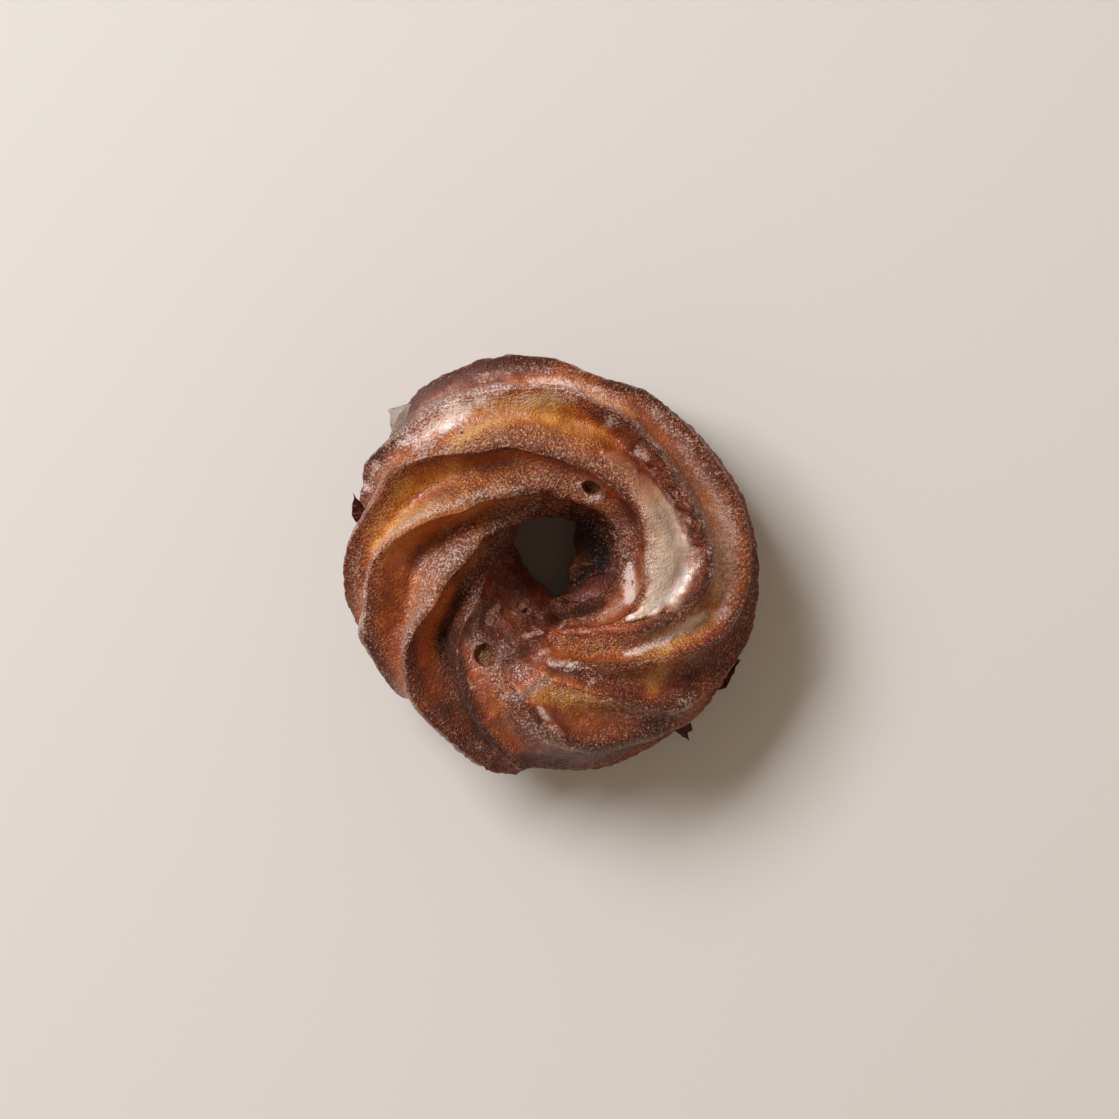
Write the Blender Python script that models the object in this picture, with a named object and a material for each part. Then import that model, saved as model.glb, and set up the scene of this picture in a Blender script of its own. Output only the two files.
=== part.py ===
"""A glazed French cruller: one ring of choux dough, piped through a fluted nozzle and twisted as it was laid.

The ring lies on its flat underside with the hole upright. Eight ridges wind round the ring's tube while they run
round the hole, and each of them comes back to its own start. The dough spreads inwards at the foot, so that the
hole is narrower below than at its rim.

"turn" is the angle round the hole, from +X towards +Y. "tube" is the angle round the dough's own section: 0 at
the outer edge, 90 on top, 180 at the hole and 270 underneath. Both are in degrees, and lengths are in millimetres.
"""

import math

import bmesh
import bpy
import numpy as np

MM = 0.001

# Driving sizes of the ring.
RING_RADIUS = 28.0  # from the hole's middle to the middle of the dough
TUBE_CENTRE_Z = 15.2
TUBE_RISE = 17.6  # from the tube's middle to the top ridges
TUBE_DROP = 17.0  # the same downwards, where the flat foot cuts it short
OUTER_REACH = {0: 44.2, 25: 43.3, 42: 42.9, 50: 42.5, 60: 43.1, 74: 42.4, 90: 44.8, 120: 47.1, 132: 47.0,
               146: 46.7, 152: 46.0, 158: 44.3, 165: 44.4, 172: 44.9, 178: 45.2, 185: 44.9, 192: 45.1, 200: 46.0,
               209: 44.2, 216: 43.9, 222: 44.6, 240: 44.6, 252: 45.2, 260: 45.5, 268: 44.1, 285: 45.4, 298: 45.6,
               308: 45.9, 320: 44.6, 340: 44.9}
HOLE_REACH = {0: 13.3, 25: 14.3, 60: 11.6, 90: 10.0, 120: 10.0, 150: 10.8, 190: 12.6, 240: 12.5, 290: 12.2,
              335: 13.6}
FOOT_SPREAD = {0: 13.8, 30: 13.0, 50: 10.8, 70: 3.0, 90: 0.0, 130: 0.0, 156: 5.8, 186: 10.8, 242: 11.4, 269: 9.8,
               286: 11.2, 345: 13.9}
FOOT_SPREAD_AT = 226.0  # the tube angle where the foot reaches furthest into the hole
FOOT_SPREAD_HALF = 58.0
LOBE_RISE = 1.6  # the last of the dough lies over the first of it
LOBE_TURN = 272.0
LOBE_HALF = 52.0

TONGUE_REACH = 1.1  # the first ridge sticks out at its end, and breaks off short there
TONGUE_START = 228.0
TONGUE_END = 262.0
TONGUE_TUBE = 6.0
TONGUE_HALF = 38.0
CREST_WOBBLE = {9: 0.9, 17: 0.6}  # no ridge runs quite true: waves in one circle, and degrees of tube angle

# Where each ridge passes, as turn: tube. A ridge starts low on the outer edge and climbs over to the hole as the
# turn falls, then goes under the ring to where it started, one full circle back. Listed by rising tube angle.
RIDGES = {
    "first": {253: 3, 240: 22, 225: 36, 215: 49, 207: 71, 200: 93, 190: 111, 180: 125, 160: 140, 140: 154, 90: 174,
              0: 206, -60: 262},
    "eighth": {-88: 3, -105: 39, -120: 63, -138: 93, -155: 133, -175: 158, -240: 208},
    "seventh": {-40: 3, -62: 40, -80: 50, -92: 62, -105: 90, -125: 110, -180: 196},
    "sixth": {60: -20, 20: -10, -20: 4, -40: 28, -60: 69, -75: 92, -90: 104, -125: 128, -180: 236},
    "fifth": {125: 3, 90: 19, 50: 27, 10: 26, -18: 44, -35: 73, -52: 96, -70: 112, -90: 123, -150: 212},
    "fourth": {157: 3, 142: 37, 120: 52, 70: 62, 30: 81, 0: 74, -20: 88, -40: 116, -60: 135, -90: 144, -140: 206},
    "third": {188: 3, 160: 43, 145: 61, 130: 82, 110: 97, 80: 111, 30: 122, -30: 127, -70: 152, -110: 188},
    "second": {212: 12, 200: 33, 190: 44, 180: 55, 172: 68, 165: 82, 158: 96, 150: 108.5, 130: 124, 90: 138,
               30: 155, 0: 162, -30: 180, -60: 187, -90: 196},
}

# Grooves between the ridges. Each belongs to the ridge on its outer side.
GROOVE_DEPTH = 0.5  # as a share of the distance between the two ridges, measured square to them
DEEPEST_GROOVE = 7.2
LEANS = {"first": 0.66, "eighth": 0.4, "seventh": 0.5, "sixth": 0.5, "fifth": 0.5, "fourth": 0.36, "third": 0.4,
         "second": 0.5}  # where the groove is deepest, as a share of the way to the ridge on its inner side
DEPTH_SHARES = {  # how much of its depth a groove has along its way, as turn: share
    "first": {190: 0.9, 205: 1.3, 215: 1.6, 235: 1.6, 252: 1.4, 264: 0.7, 290: 0.5, 340: 0.4, 60: 0.4, 120: 0.5},
    "eighth": {190: 0.3, 215: 0.3, 230: 0.12, 245: 0.25, 256: 0.4, 266: 0.3, 300: 0.5, 60: 0.7, 150: 0.6},
    "seventh": {225: 0.1, 258: 0.12, 272: 0.35, 290: 0.5, 320: 0.6, 60: 0.7, 180: 0.5},
    "sixth": {250: 0.1, 275: 0.3, 290: 0.6, 325: 1.2, 350: 0.9, 20: 0.7, 90: 0.6, 180: 0.5},
    "fifth": {225: 0.05, 262: 0.15, 290: 0.7, 320: 0.9, 335: 0.75, 0: 0.65, 40: 0.7, 88: 0.7, 110: 0.4, 130: 0.3,
              150: 0.45, 200: 0.4},
    "fourth": {225: 0.05, 258: 0.15, 285: 0.45, 330: 0.75, 0: 1.0, 40: 1.0, 80: 0.8, 105: 0.5, 128: 0.34, 145: 0.5,
               165: 0.7, 190: 0.5},
    "third": {225: 0.06, 262: 0.15, 290: 0.5, 340: 0.25, 10: 0.4, 60: 0.3, 90: 0.55, 125: 1.0, 180: 1.05, 190: 0.8,
              198: 0.5, 208: 0.45},
    "second": {225: 0.5, 255: 0.5, 290: 0.8, 320: 0.8, 0: 0.5, 60: 0.4, 110: 0.7, 150: 1.05, 195: 1.2, 210: 0.9},
}
BRINK = 0.16  # the rounding where a ridge drops away to the hole side
DROP = 1.9  # how steeply it drops
SHOULDER = 1.1  # how roundly the groove comes up to the next ridge
FLAT_AT = 270.0  # the grooves die out towards this tube angle, where the dough lay on paper
FLAT_HALF = 30.0
FLAT_BLEND = 34.0
CALM_TURN = 237.0  # and they are nearly smoothed out here, where dough bulges into the hole
CALM_TURN_HALF = 58.0
CALM_TUBE = 195.0
CALM_TUBE_HALF = 66.0
CALM_SHARE = 0.85

# Mesh steps.
TURN_STEPS = 100
STEPS_BETWEEN_RIDGES = 6
CLOSER_BY_CRESTS = 0.05  # how far the steps move towards the ridges

DOUGH_COLOUR = (0.36, 0.13, 0.045, 1.0)
DOUGH_ROUGHNESS = 0.38


def through(keys, period=None):
    """A smooth function through the given points that never overshoots them. With a period, it repeats."""
    xs = np.array(sorted(keys), float)
    ys = np.array([keys[x] for x in sorted(keys)], float)
    if period:
        xs = np.concatenate([xs - period, xs, xs + period])
        ys = np.tile(ys, 3)
    step = np.diff(xs)
    slope = np.diff(ys) / step
    tangent = np.zeros(len(xs))
    tangent[0], tangent[-1] = slope[0], slope[-1]
    same_way = slope[:-1] * slope[1:] > 0
    left = 2 * step[1:] + step[:-1]
    right = step[1:] + 2 * step[:-1]
    with np.errstate(divide="ignore"):
        mean = (left + right) / (left / slope[:-1] + right / slope[1:])
    tangent[1:-1] = np.where(same_way, mean, 0.0)

    def value(x):
        at = (np.asarray(x, float) - xs[0]) % period + xs[0] + period if period else np.asarray(x, float)
        i = np.clip(np.searchsorted(xs, at) - 1, 0, len(step) - 1)
        t = (at - xs[i]) / step[i]
        rise = (3 - 2 * t) * t * t
        start = ((t - 2) * t + 1) * t * step[i] * tangent[i]
        end = (t - 1) * t * t * step[i] * tangent[i + 1]
        return ys[i] + (ys[i + 1] - ys[i]) * rise + start + end

    return value


def ridge_path(keys):
    """The ridge's tube angle at any turn. One full circle of turn brings the tube angle back by 360."""
    first = max(keys)
    closed = dict(keys)
    closed[first - 360] = keys[first] + 360
    along = through(closed)

    def tube(turn):
        circles = np.floor((first - turn) / 360)
        return along(turn + 360 * circles) + 360 * circles

    return tube


def bump(distance, half_width):
    """1 at no distance, falling smoothly to 0 at the half width."""
    share = np.clip(np.abs(distance) / half_width, 0, 1)
    return np.cos(share * math.pi / 2) ** 2


def around(angle, middle):
    """The difference between two angles, from -180 to 180."""
    return (angle - middle + 180) % 360 - 180


def ease(low, high, value):
    """0 below the low value and 1 above the high one, with a smooth change between."""
    share = min(max((value - low) / (high - low), 0), 1)
    return share * share * (3 - 2 * share)


outer_reach = through(OUTER_REACH, 360)
hole_reach = through(HOLE_REACH, 360)
foot_spread = through(FOOT_SPREAD, 360)
ridge_paths = {name: ridge_path(keys) for name, keys in RIDGES.items()}
depth_shares = {name: through(keys, 360) for name, keys in DEPTH_SHARES.items()}


def wobble(turn, number):
    """How far the ridge of this number strays from its path, in degrees of tube angle."""
    angle = math.radians(turn)
    return sum(height * math.sin(waves * angle + (2.1 if waves == 9 else 4.7) * number)
               for waves, height in CREST_WOBBLE.items())


def ridges_at(turn):
    """Name, tube angle and slope of each ridge here, from the first one up, with the first again a circle higher."""
    ridges = []
    for number, (name, path) in enumerate(ridge_paths.items()):
        tube = float(path(turn)) + wobble(turn, number)
        if ridges:
            tube = ridges[0][1] + (tube - ridges[0][1]) % 360
        ridges.append((name, tube, float(path(turn + 1) - path(turn - 1)) / 2))
    first = ridges[0]
    return ridges + [(first[0], first[1] + 360, first[2])]


def section(turn, tube):
    """Radius and height of the smooth outline that the ridges touch."""
    side = math.cos(math.radians(tube))
    up = math.sin(math.radians(tube))
    half_width = outer_reach(turn) - RING_RADIUS if side > 0 else RING_RADIUS - hole_reach(turn)
    radius = RING_RADIUS + half_width * side
    radius -= foot_spread(turn) * bump(around(tube, FOOT_SPREAD_AT), FOOT_SPREAD_HALF)
    lobe = LOBE_RISE * bump(around(turn, LOBE_TURN), LOBE_HALF)
    height = TUBE_CENTRE_Z + (TUBE_RISE + lobe if up > 0 else TUBE_DROP) * up
    return radius, height


def groove(name, share):
    """0 at the two ridges and 1 in the groove's bottom. A rounded shoulder ends in a brink on its outer side."""
    lean = LEANS[name]
    if share < lean:
        down = (math.hypot(share / lean, BRINK) - BRINK) / (math.hypot(1, BRINK) - BRINK)
        return 1 - (1 - down) ** DROP
    return math.sin(math.pi / 2 * ((1 - share) / (1 - lean)) ** SHOULDER) ** 2


def groove_depth(name, turn, tube, gap, slope):
    """How far the groove goes in here: deep where its ridges lie far apart, and nothing on the flat underside."""
    radius, height = section(turn, tube)
    from_middle = math.hypot(radius - RING_RADIUS, height - TUBE_CENTRE_Z)
    square_to_ridges = radius / math.hypot(radius, from_middle * slope)
    width = math.radians(gap) * from_middle * square_to_ridges
    depth = min(GROOVE_DEPTH * width * depth_shares[name](turn), DEEPEST_GROOVE)
    depth *= 1 - bump(max(abs(around(tube, FLAT_AT)) - FLAT_HALF, 0), FLAT_BLEND)
    in_hole = bump(around(tube, CALM_TUBE), CALM_TUBE_HALF) * bump(around(turn, CALM_TURN), CALM_TURN_HALF)
    return depth * (1 - CALM_SHARE * ease(0, 0.5, in_hole))


def tongue(turn, tube):
    """How far the first ridge's end stands out."""
    along = ease(TONGUE_START, TONGUE_END - 8, turn) * (1 - ease(-0.8, 0.9, turn - TONGUE_END))
    return TONGUE_REACH * along * bump(around(tube, TONGUE_TUBE), TONGUE_HALF)


def dough_point(turn, tube, depth):
    """One point of the dough, pressed in towards the tube's middle by this depth and a height not below the foot."""
    radius, height = section(turn, tube)
    keep = 1 - depth / math.hypot(radius - RING_RADIUS, height - TUBE_CENTRE_Z)
    radius = RING_RADIUS + (radius - RING_RADIUS) * keep
    height = max(TUBE_CENTRE_Z + (height - TUBE_CENTRE_Z) * keep, 0.0)
    angle = math.radians(turn)
    return radius * math.cos(angle), radius * math.sin(angle), height


def dough_rows():
    """The ring's sections, one for each turn step. Every row starts at the same ridge, so the rows join up."""
    rows = []
    for step in range(TURN_STEPS):
        turn = 360 * step / TURN_STEPS
        ridges = ridges_at(turn)
        row = []
        for (name, low, low_slope), (_, high, high_slope) in zip(ridges, ridges[1:]):
            for part in range(STEPS_BETWEEN_RIDGES):
                even = part / STEPS_BETWEEN_RIDGES
                share = even - CLOSER_BY_CRESTS * math.sin(2 * math.pi * even)
                tube = low + (high - low) * share
                slope = low_slope + (high_slope - low_slope) * share
                depth = groove_depth(name, turn, tube, high - low, slope) * groove(name, share)
                row.append(dough_point(turn, tube, depth - tongue(turn, tube)))
        rows.append(row)
    return np.array(rows)


def centred(rows):
    """The rows in metres, moved so that the ring's box is centred over the origin and stands on z = 0."""
    points = rows.reshape(-1, 3)
    low, high = points.min(0), points.max(0)
    middle = (low + high) / 2
    return (rows - [middle[0], middle[1], low[2]]) * MM


def dough_material():
    material = bpy.data.materials.new("fried_dough")
    material.use_nodes = True
    shader = material.node_tree.nodes["Principled BSDF"]
    shader.inputs["Base Color"].default_value = DOUGH_COLOUR
    shader.inputs["Roughness"].default_value = DOUGH_ROUGHNESS
    shader.inputs["Metallic"].default_value = 0.0
    material.diffuse_color = DOUGH_COLOUR
    return material


def dough_ring(collection):
    rows = centred(dough_rows())
    turns, around_tube = rows.shape[:2]
    mesh = bpy.data.meshes.new("dough_ring")
    loft = bmesh.new()
    grid = [[loft.verts.new(point) for point in row] for row in rows]
    for i in range(turns):
        here, there = grid[i], grid[(i + 1) % turns]
        for j in range(around_tube):
            k = (j + 1) % around_tube
            loft.faces.new((here[j], there[j], there[k], here[k]))
    bmesh.ops.recalc_face_normals(loft, faces=loft.faces)
    bmesh.ops.triangulate(loft, faces=loft.faces)
    loft.to_mesh(mesh)
    loft.free()
    mesh.shade_smooth()
    mesh.set_sharp_from_angle(angle=math.radians(50))
    mesh.materials.append(dough_material())
    ring = bpy.data.objects.new("dough_ring", mesh)
    collection.objects.link(ring)
    return ring


def main():
    for old in list(bpy.data.objects):
        bpy.data.objects.remove(old)
    collection = bpy.data.collections.new("cruller")
    bpy.context.scene.collection.children.link(collection)
    dough_ring(collection)


main()
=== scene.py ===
# A glazed French cruller on a pale table: piped, twisted choux dough, fried dark on its ridges and glazed.
# Lengths in the dictionaries are millimetres. "turn" is the angle round the hole and "tube" the angle round
# the dough's section, both in degrees: tube 0 is the outer edge, 90 the top, 180 the hole side, 270 below.
import math

import bmesh
import bpy
import numpy as np
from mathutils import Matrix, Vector, noise


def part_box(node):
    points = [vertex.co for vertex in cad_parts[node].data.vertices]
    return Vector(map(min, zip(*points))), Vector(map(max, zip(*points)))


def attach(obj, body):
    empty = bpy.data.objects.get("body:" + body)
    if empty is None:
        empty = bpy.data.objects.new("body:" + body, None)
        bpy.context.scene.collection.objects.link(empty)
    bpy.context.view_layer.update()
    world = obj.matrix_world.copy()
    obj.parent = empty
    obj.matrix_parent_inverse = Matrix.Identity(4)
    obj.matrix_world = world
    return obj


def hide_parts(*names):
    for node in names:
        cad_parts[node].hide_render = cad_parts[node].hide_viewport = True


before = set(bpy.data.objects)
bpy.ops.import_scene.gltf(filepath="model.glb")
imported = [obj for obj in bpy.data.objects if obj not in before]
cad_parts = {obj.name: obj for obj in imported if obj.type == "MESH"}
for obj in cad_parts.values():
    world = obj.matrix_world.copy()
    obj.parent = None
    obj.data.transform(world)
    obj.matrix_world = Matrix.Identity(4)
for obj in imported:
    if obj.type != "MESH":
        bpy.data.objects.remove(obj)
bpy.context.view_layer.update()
boxLow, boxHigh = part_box("dough_ring")
mm = 0.001


def throughKeys(keys, period=None):
    # a smooth curve through the given keys that never overshoots them
    xs = np.array(sorted(keys), float)
    ys = np.array([keys[x] for x in sorted(keys)], float)
    if period:
        xs = np.concatenate([xs - period, xs, xs + period])
        ys = np.tile(ys, 3)
    step = np.diff(xs)
    slope = np.diff(ys) / step
    tangent = np.zeros(len(xs))
    tangent[0], tangent[-1] = slope[0], slope[-1]
    left = 2 * step[1:] + step[:-1]
    right = step[1:] + 2 * step[:-1]
    with np.errstate(divide="ignore", invalid="ignore"):
        mean = (left + right) / (left / slope[:-1] + right / slope[1:])
    tangent[1:-1] = np.where(slope[:-1] * slope[1:] > 0, mean, 0.0)

    def value(x):
        at = np.asarray(x, float)
        if period:
            at = (at - xs[0]) % period + xs[0] + period
        i = np.clip(np.searchsorted(xs, at) - 1, 0, len(step) - 1)
        t = (at - xs[i]) / step[i]
        start = ((t - 2) * t + 1) * t * step[i] * tangent[i]
        end = (t - 1) * t * t * step[i] * tangent[i + 1]
        return ys[i] + (ys[i + 1] - ys[i]) * (3 - 2 * t) * t * t + start + end

    return value


def bump(distance, halfWidth):
    # 1 in the middle, falling smoothly to 0 at the half width
    return np.cos(np.clip(np.abs(distance) / halfWidth, 0, 1) * math.pi / 2) ** 2


def smooth(low, high, value):
    t = np.clip((value - low) / (high - low), 0, 1)
    return t * t * (3 - 2 * t)


def around(angle, middle):
    return (angle - middle + 180) % 360 - 180


def fractal(points, size, octaves=3, seed=0.0):
    # noise from about -1 to 1 with lumps of this size
    shift = Vector((seed * 17.3, seed * 5.1, seed * 9.7))
    return np.array([noise.fractal(Vector(p) / size + shift, 1.0, 2.0, octaves) for p in points])


ring = {
    "radius": 28.0,  # hole's middle to the middle of the dough
    "tubeZ": 15.2,
    "rise": 17.6,
    "drop": 17.0,
    "outerReach": {0: 44.2, 25: 43.3, 42: 42.9, 50: 42.5, 60: 43.1, 74: 42.4, 90: 44.8, 120: 47.1, 132: 47.0,
                   146: 46.7, 152: 46.0, 158: 44.3, 165: 44.4, 172: 44.9, 178: 45.2, 185: 44.9, 192: 45.1,
                   200: 46.0, 209: 44.2, 216: 43.9, 222: 44.6, 240: 44.6, 252: 45.2, 260: 45.5, 268: 44.1,
                   285: 45.4, 298: 45.6, 308: 45.9, 320: 44.6, 340: 44.9},
    "holeReach": {0: 13.3, 25: 14.3, 60: 11.6, 90: 10.0, 120: 10.0, 150: 10.8, 190: 12.6, 240: 12.5,
                  290: 12.2, 335: 13.6},
    "footSpread": {0: 13.8, 30: 13.0, 50: 10.8, 70: 3.0, 90: 0.0, 130: 0.0, 156: 5.8, 186: 10.8, 242: 11.4,
                   269: 9.8, 286: 11.2, 345: 13.9},
    "footAt": 226.0,
    "footHalf": 58.0,
    "lobeRise": 1.6,  # the end of the piping lies over its start
    "lobeTurn": 272.0,
    "lobeHalf": 52.0,
    "rows": 400,
    "perGap": 26,
}

ridges = {
    "first": {253: 3, 240: 22, 225: 36, 215: 49, 207: 71, 200: 93, 190: 111, 180: 125, 160: 140, 140: 154,
              90: 174, 0: 206, -60: 262},
    "second": {212: 12, 200: 33, 190: 44, 180: 55, 172: 68, 165: 82, 158: 96, 150: 108.5, 130: 124, 90: 138,
               30: 155, 0: 162, -30: 180, -60: 187, -90: 196},
    "third": {188: 3, 160: 43, 145: 61, 130: 82, 110: 97, 80: 111, 30: 122, -30: 127, -70: 152, -110: 188},
    "fourth": {157: 3, 142: 37, 120: 52, 70: 62, 30: 81, 0: 74, -20: 88, -40: 116, -60: 135, -90: 144,
               -140: 206},
    "fifth": {125: 3, 90: 19, 50: 27, 10: 26, -18: 44, -35: 73, -52: 96, -70: 112, -90: 123, -150: 212},
    "sixth": {60: -20, 20: -10, -20: 4, -40: 28, -60: 69, -75: 92, -90: 104, -125: 128, -180: 236},
    "seventh": {-40: 3, -62: 40, -80: 50, -92: 62, -105: 90, -125: 110, -180: 196},
    "eighth": {-88: 3, -105: 39, -120: 63, -138: 93, -155: 133, -175: 158, -240: 208},
}
# by rising tube angle
ridgeOrder = ["first", "eighth", "seventh", "sixth", "fifth", "fourth", "third", "second"]

groove = {
    "depth": 0.5,  # share of the distance between its two ridges
    "deepest": 7.2,
    # the deepest line's place between the outer ridge and the inner one
    "lean": {"first": 0.66, "eighth": 0.4, "seventh": 0.5, "sixth": 0.5, "fifth": 0.5, "fourth": 0.36,
             "third": 0.4, "second": 0.5},
    "brink": 0.16,  # rounding where a ridge drops away to the hole side
    "drop": 1.9,
    "shoulder": 1.1,
    "undercut": 1.2,
    "flatAt": 270.0,
    "flatHalf": 30.0,
    "flatBlend": 34.0,
    # depth along each groove, named by its outer ridge, as turn: share
    "shares": {
        "first": {190: 0.9, 205: 1.3, 215: 1.6, 235: 1.6, 252: 1.4, 264: 0.7, 290: 0.5, 340: 0.4, 60: 0.4,
                  120: 0.5},
        "eighth": {190: 0.3, 215: 0.3, 230: 0.12, 245: 0.25, 256: 0.4, 266: 0.3, 300: 0.5, 60: 0.7, 150: 0.6},
        "seventh": {225: 0.1, 258: 0.12, 272: 0.35, 290: 0.5, 320: 0.6, 60: 0.7, 180: 0.5},
        "sixth": {250: 0.1, 275: 0.3, 290: 0.6, 325: 1.2, 350: 0.9, 20: 0.7, 90: 0.6, 180: 0.5},
        "fifth": {225: 0.05, 262: 0.15, 290: 0.7, 320: 0.9, 335: 0.75, 0: 0.65, 40: 0.7, 88: 0.7, 110: 0.4,
                  130: 0.3, 150: 0.45, 200: 0.4},
        "fourth": {225: 0.05, 258: 0.15, 285: 0.45, 330: 0.75, 0: 1.0, 40: 1.0, 80: 0.8, 105: 0.5,
                   128: 0.34, 145: 0.5, 165: 0.7, 190: 0.5},
        "third": {225: 0.06, 262: 0.15, 290: 0.5, 340: 0.25, 10: 0.4, 60: 0.3, 90: 0.55, 125: 1.0, 180: 1.05,
                  190: 0.8, 198: 0.5, 208: 0.45},
        "second": {225: 0.5, 255: 0.5, 290: 0.8, 320: 0.8, 0: 0.5, 60: 0.4, 110: 0.7, 150: 1.05, 195: 1.2,
                   210: 0.9},
    },
    "holeCalm": {"turn": 237.0, "turnHalf": 58.0, "tube": 195.0, "tubeHalf": 66.0, "share": 0.85},
}

# The first ridge ends in a tongue that sticks out past the rest of the rim and breaks off short.
tongue = {"start": 228.0, "end": 262.0, "tube": 6.0, "tubeHalf": 38.0, "reach": 1.1, "ragged": 0.3}

outerReach = throughKeys(ring["outerReach"], 360)
holeReach = throughKeys(ring["holeReach"], 360)
footSpread = throughKeys(ring["footSpread"], 360)


def ridgePath(keys):
    # one circle of turn brings the ridge's tube angle back by 360
    first = max(keys)
    closed = dict(keys)
    closed[first - 360] = keys[first] + 360
    along = throughKeys(closed)

    def tube(turn):
        circles = np.floor((first - turn) / 360)
        return along(turn + 360 * circles) + 360 * circles

    return tube


def outline(turn, tube):
    # radius and height of the smooth form that the ridges touch
    side, up = np.cos(np.radians(tube)), np.sin(np.radians(tube))
    half = np.where(side > 0, outerReach(turn) - ring["radius"], ring["radius"] - holeReach(turn))
    radius = ring["radius"] + half * side
    radius = radius - footSpread(turn) * bump(around(tube, ring["footAt"]), ring["footHalf"])
    rise = ring["rise"] + ring["lobeRise"] * bump(around(turn, ring["lobeTurn"]), ring["lobeHalf"])
    return radius, ring["tubeZ"] + np.where(up > 0, rise, ring["drop"]) * up


def crestWobble(turn, number):
    # hand piping: no ridge runs quite true
    angle = np.radians(turn)
    return 0.9 * np.sin(9 * angle + 2.1 * number) + 0.6 * np.sin(17 * angle + 4.7 * number)


def ringGrid():
    # turn, tube, groove number, share of the groove, ridge distance and slope for every grid point
    turn = (np.arange(ring["rows"]) * 360 / ring["rows"])[:, None]
    crests = []
    for name in ridgeOrder:
        path = ridgePath(ridges[name])
        here = path(turn) + crestWobble(turn, len(crests))
        slope = (path(turn + 1) - path(turn - 1)) / 2
        if crests:
            here = crests[0][0] + (here - crests[0][0]) % 360
        crests.append((here, slope))
    crests.append((crests[0][0] + 360, crests[0][1]))
    even = np.arange(ring["perGap"]) / ring["perGap"]
    share = even - 0.07 * np.sin(2 * np.pi * even)  # closer together by the crests
    tubes, shares, numbers, gaps, slopes = [], [], [], [], []
    for k in range(len(ridgeOrder)):
        (low, lowSlope), (high, highSlope) = crests[k], crests[k + 1]
        tubes.append(low + (high - low) * share)
        shares.append(np.broadcast_to(share, tubes[-1].shape))
        numbers.append(np.full(tubes[-1].shape, k))
        gaps.append(np.broadcast_to(high - low, tubes[-1].shape))
        slopes.append(lowSlope + (highSlope - lowSlope) * share)
    tube = np.concatenate(tubes, 1)
    turn = np.broadcast_to(turn, tube.shape)
    return [turn, tube] + [np.concatenate(part, 1) for part in (numbers, shares, gaps, slopes)]


def grooveShape(number, share):
    # a rounded shoulder that ends in a brink: the dough drops steeply on the side that faces the hole
    lean = np.array([groove["lean"][name] for name in ridgeOrder])[number]
    brink = groove["brink"]
    down = np.clip(share / lean, 0, 1)
    down = (np.sqrt(down ** 2 + brink ** 2) - brink) / (math.sqrt(1 + brink ** 2) - brink)
    up = np.clip((1 - share) / (1 - lean), 0, 1)
    steep = 1 - (1 - down) ** groove["drop"]
    gentle = np.sin(np.pi / 2 * up ** groove["shoulder"]) ** 2
    return np.where(share < lean, steep, gentle)


def grooveDepth(turn, tube, number, gap, slope):
    radius, height = outline(turn, tube)
    fromMiddle = np.hypot(radius - ring["radius"], height - ring["tubeZ"])
    square = radius / np.hypot(radius, fromMiddle * slope)
    width = np.radians(gap) * fromMiddle * square
    shares = np.zeros(turn.shape)
    for k, name in enumerate(ridgeOrder):
        shares = np.where(number == k, throughKeys(groove["shares"][name], 360)(turn), shares)
    depth = np.minimum(groove["depth"] * width * shares, groove["deepest"])
    depth = depth * (1 - bump(np.maximum(np.abs(around(tube, groove["flatAt"])) - groove["flatHalf"], 0),
                              groove["flatBlend"]))
    calm = groove["holeCalm"]
    inHole = bump(around(tube, calm["tube"]), calm["tubeHalf"])
    inHole = inHole * bump(around(turn, calm["turn"]), calm["turnHalf"])
    return depth * (1 - calm["share"] * smooth(0, 0.5, inHole)), width


def buildRing():
    turn, tube, number, share, gap, slope = ringGrid()
    depth, width = grooveDepth(turn, tube, number, gap, slope)
    hollow = grooveShape(number, share)
    lean = groove["undercut"] * np.sin(np.pi * np.clip(share / 0.5, 0, 1)) * depth / groove["deepest"]
    shifted = tube - np.degrees(lean / 18)
    radius, height = outline(turn, shifted)
    fromMiddle = np.hypot(radius - ring["radius"], height - ring["tubeZ"])
    angle = np.radians(turn)
    base = np.stack([radius * np.cos(angle), radius * np.sin(angle), height], -1)
    lumps, knots, grain = (fractal(base.reshape(-1, 3), size, octaves, seed).reshape(turn.shape)
                           for size, octaves, seed in ((8.0, 2, 1), (3.2, 2, 5), (1.3, 2, 2)))
    under, over = share * width, (1 - share) * width
    relief = smooth(0.3, 2.2, depth)
    crest = np.maximum(bump(under, 1.6), bump(over, 1.6)) * relief
    swell = 0.4 * lumps + 0.25 * knots + (0.14 + 0.2 * crest) * grain
    end = smooth(tongue["start"], tongue["end"] - 8, turn)
    end = end * (1 - smooth(-0.8, 0.9, turn - tongue["end"] - 0.7 * knots))
    end = end * bump(around(shifted, tongue["tube"]), tongue["tubeHalf"])
    swell = swell + end * (tongue["reach"] + 2 * tongue["ragged"] * grain)
    keep = 1 - (depth * hollow - swell) / fromMiddle
    radius = ring["radius"] + (radius - ring["radius"]) * keep
    height = np.maximum(ring["tubeZ"] + (height - ring["tubeZ"]) * keep, 0)
    place = np.stack([radius * np.cos(angle), radius * np.sin(angle), height], -1)
    masks = {
        "turn": turn,
        "tube": tube % 360,
        "under": under + 6 * (1 - relief),
        "over": over + 6 * (1 - relief),
        "hollow": hollow * smooth(0.5, 4.5, depth),
        "sunk": depth * hollow,
    }
    return place, masks


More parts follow.
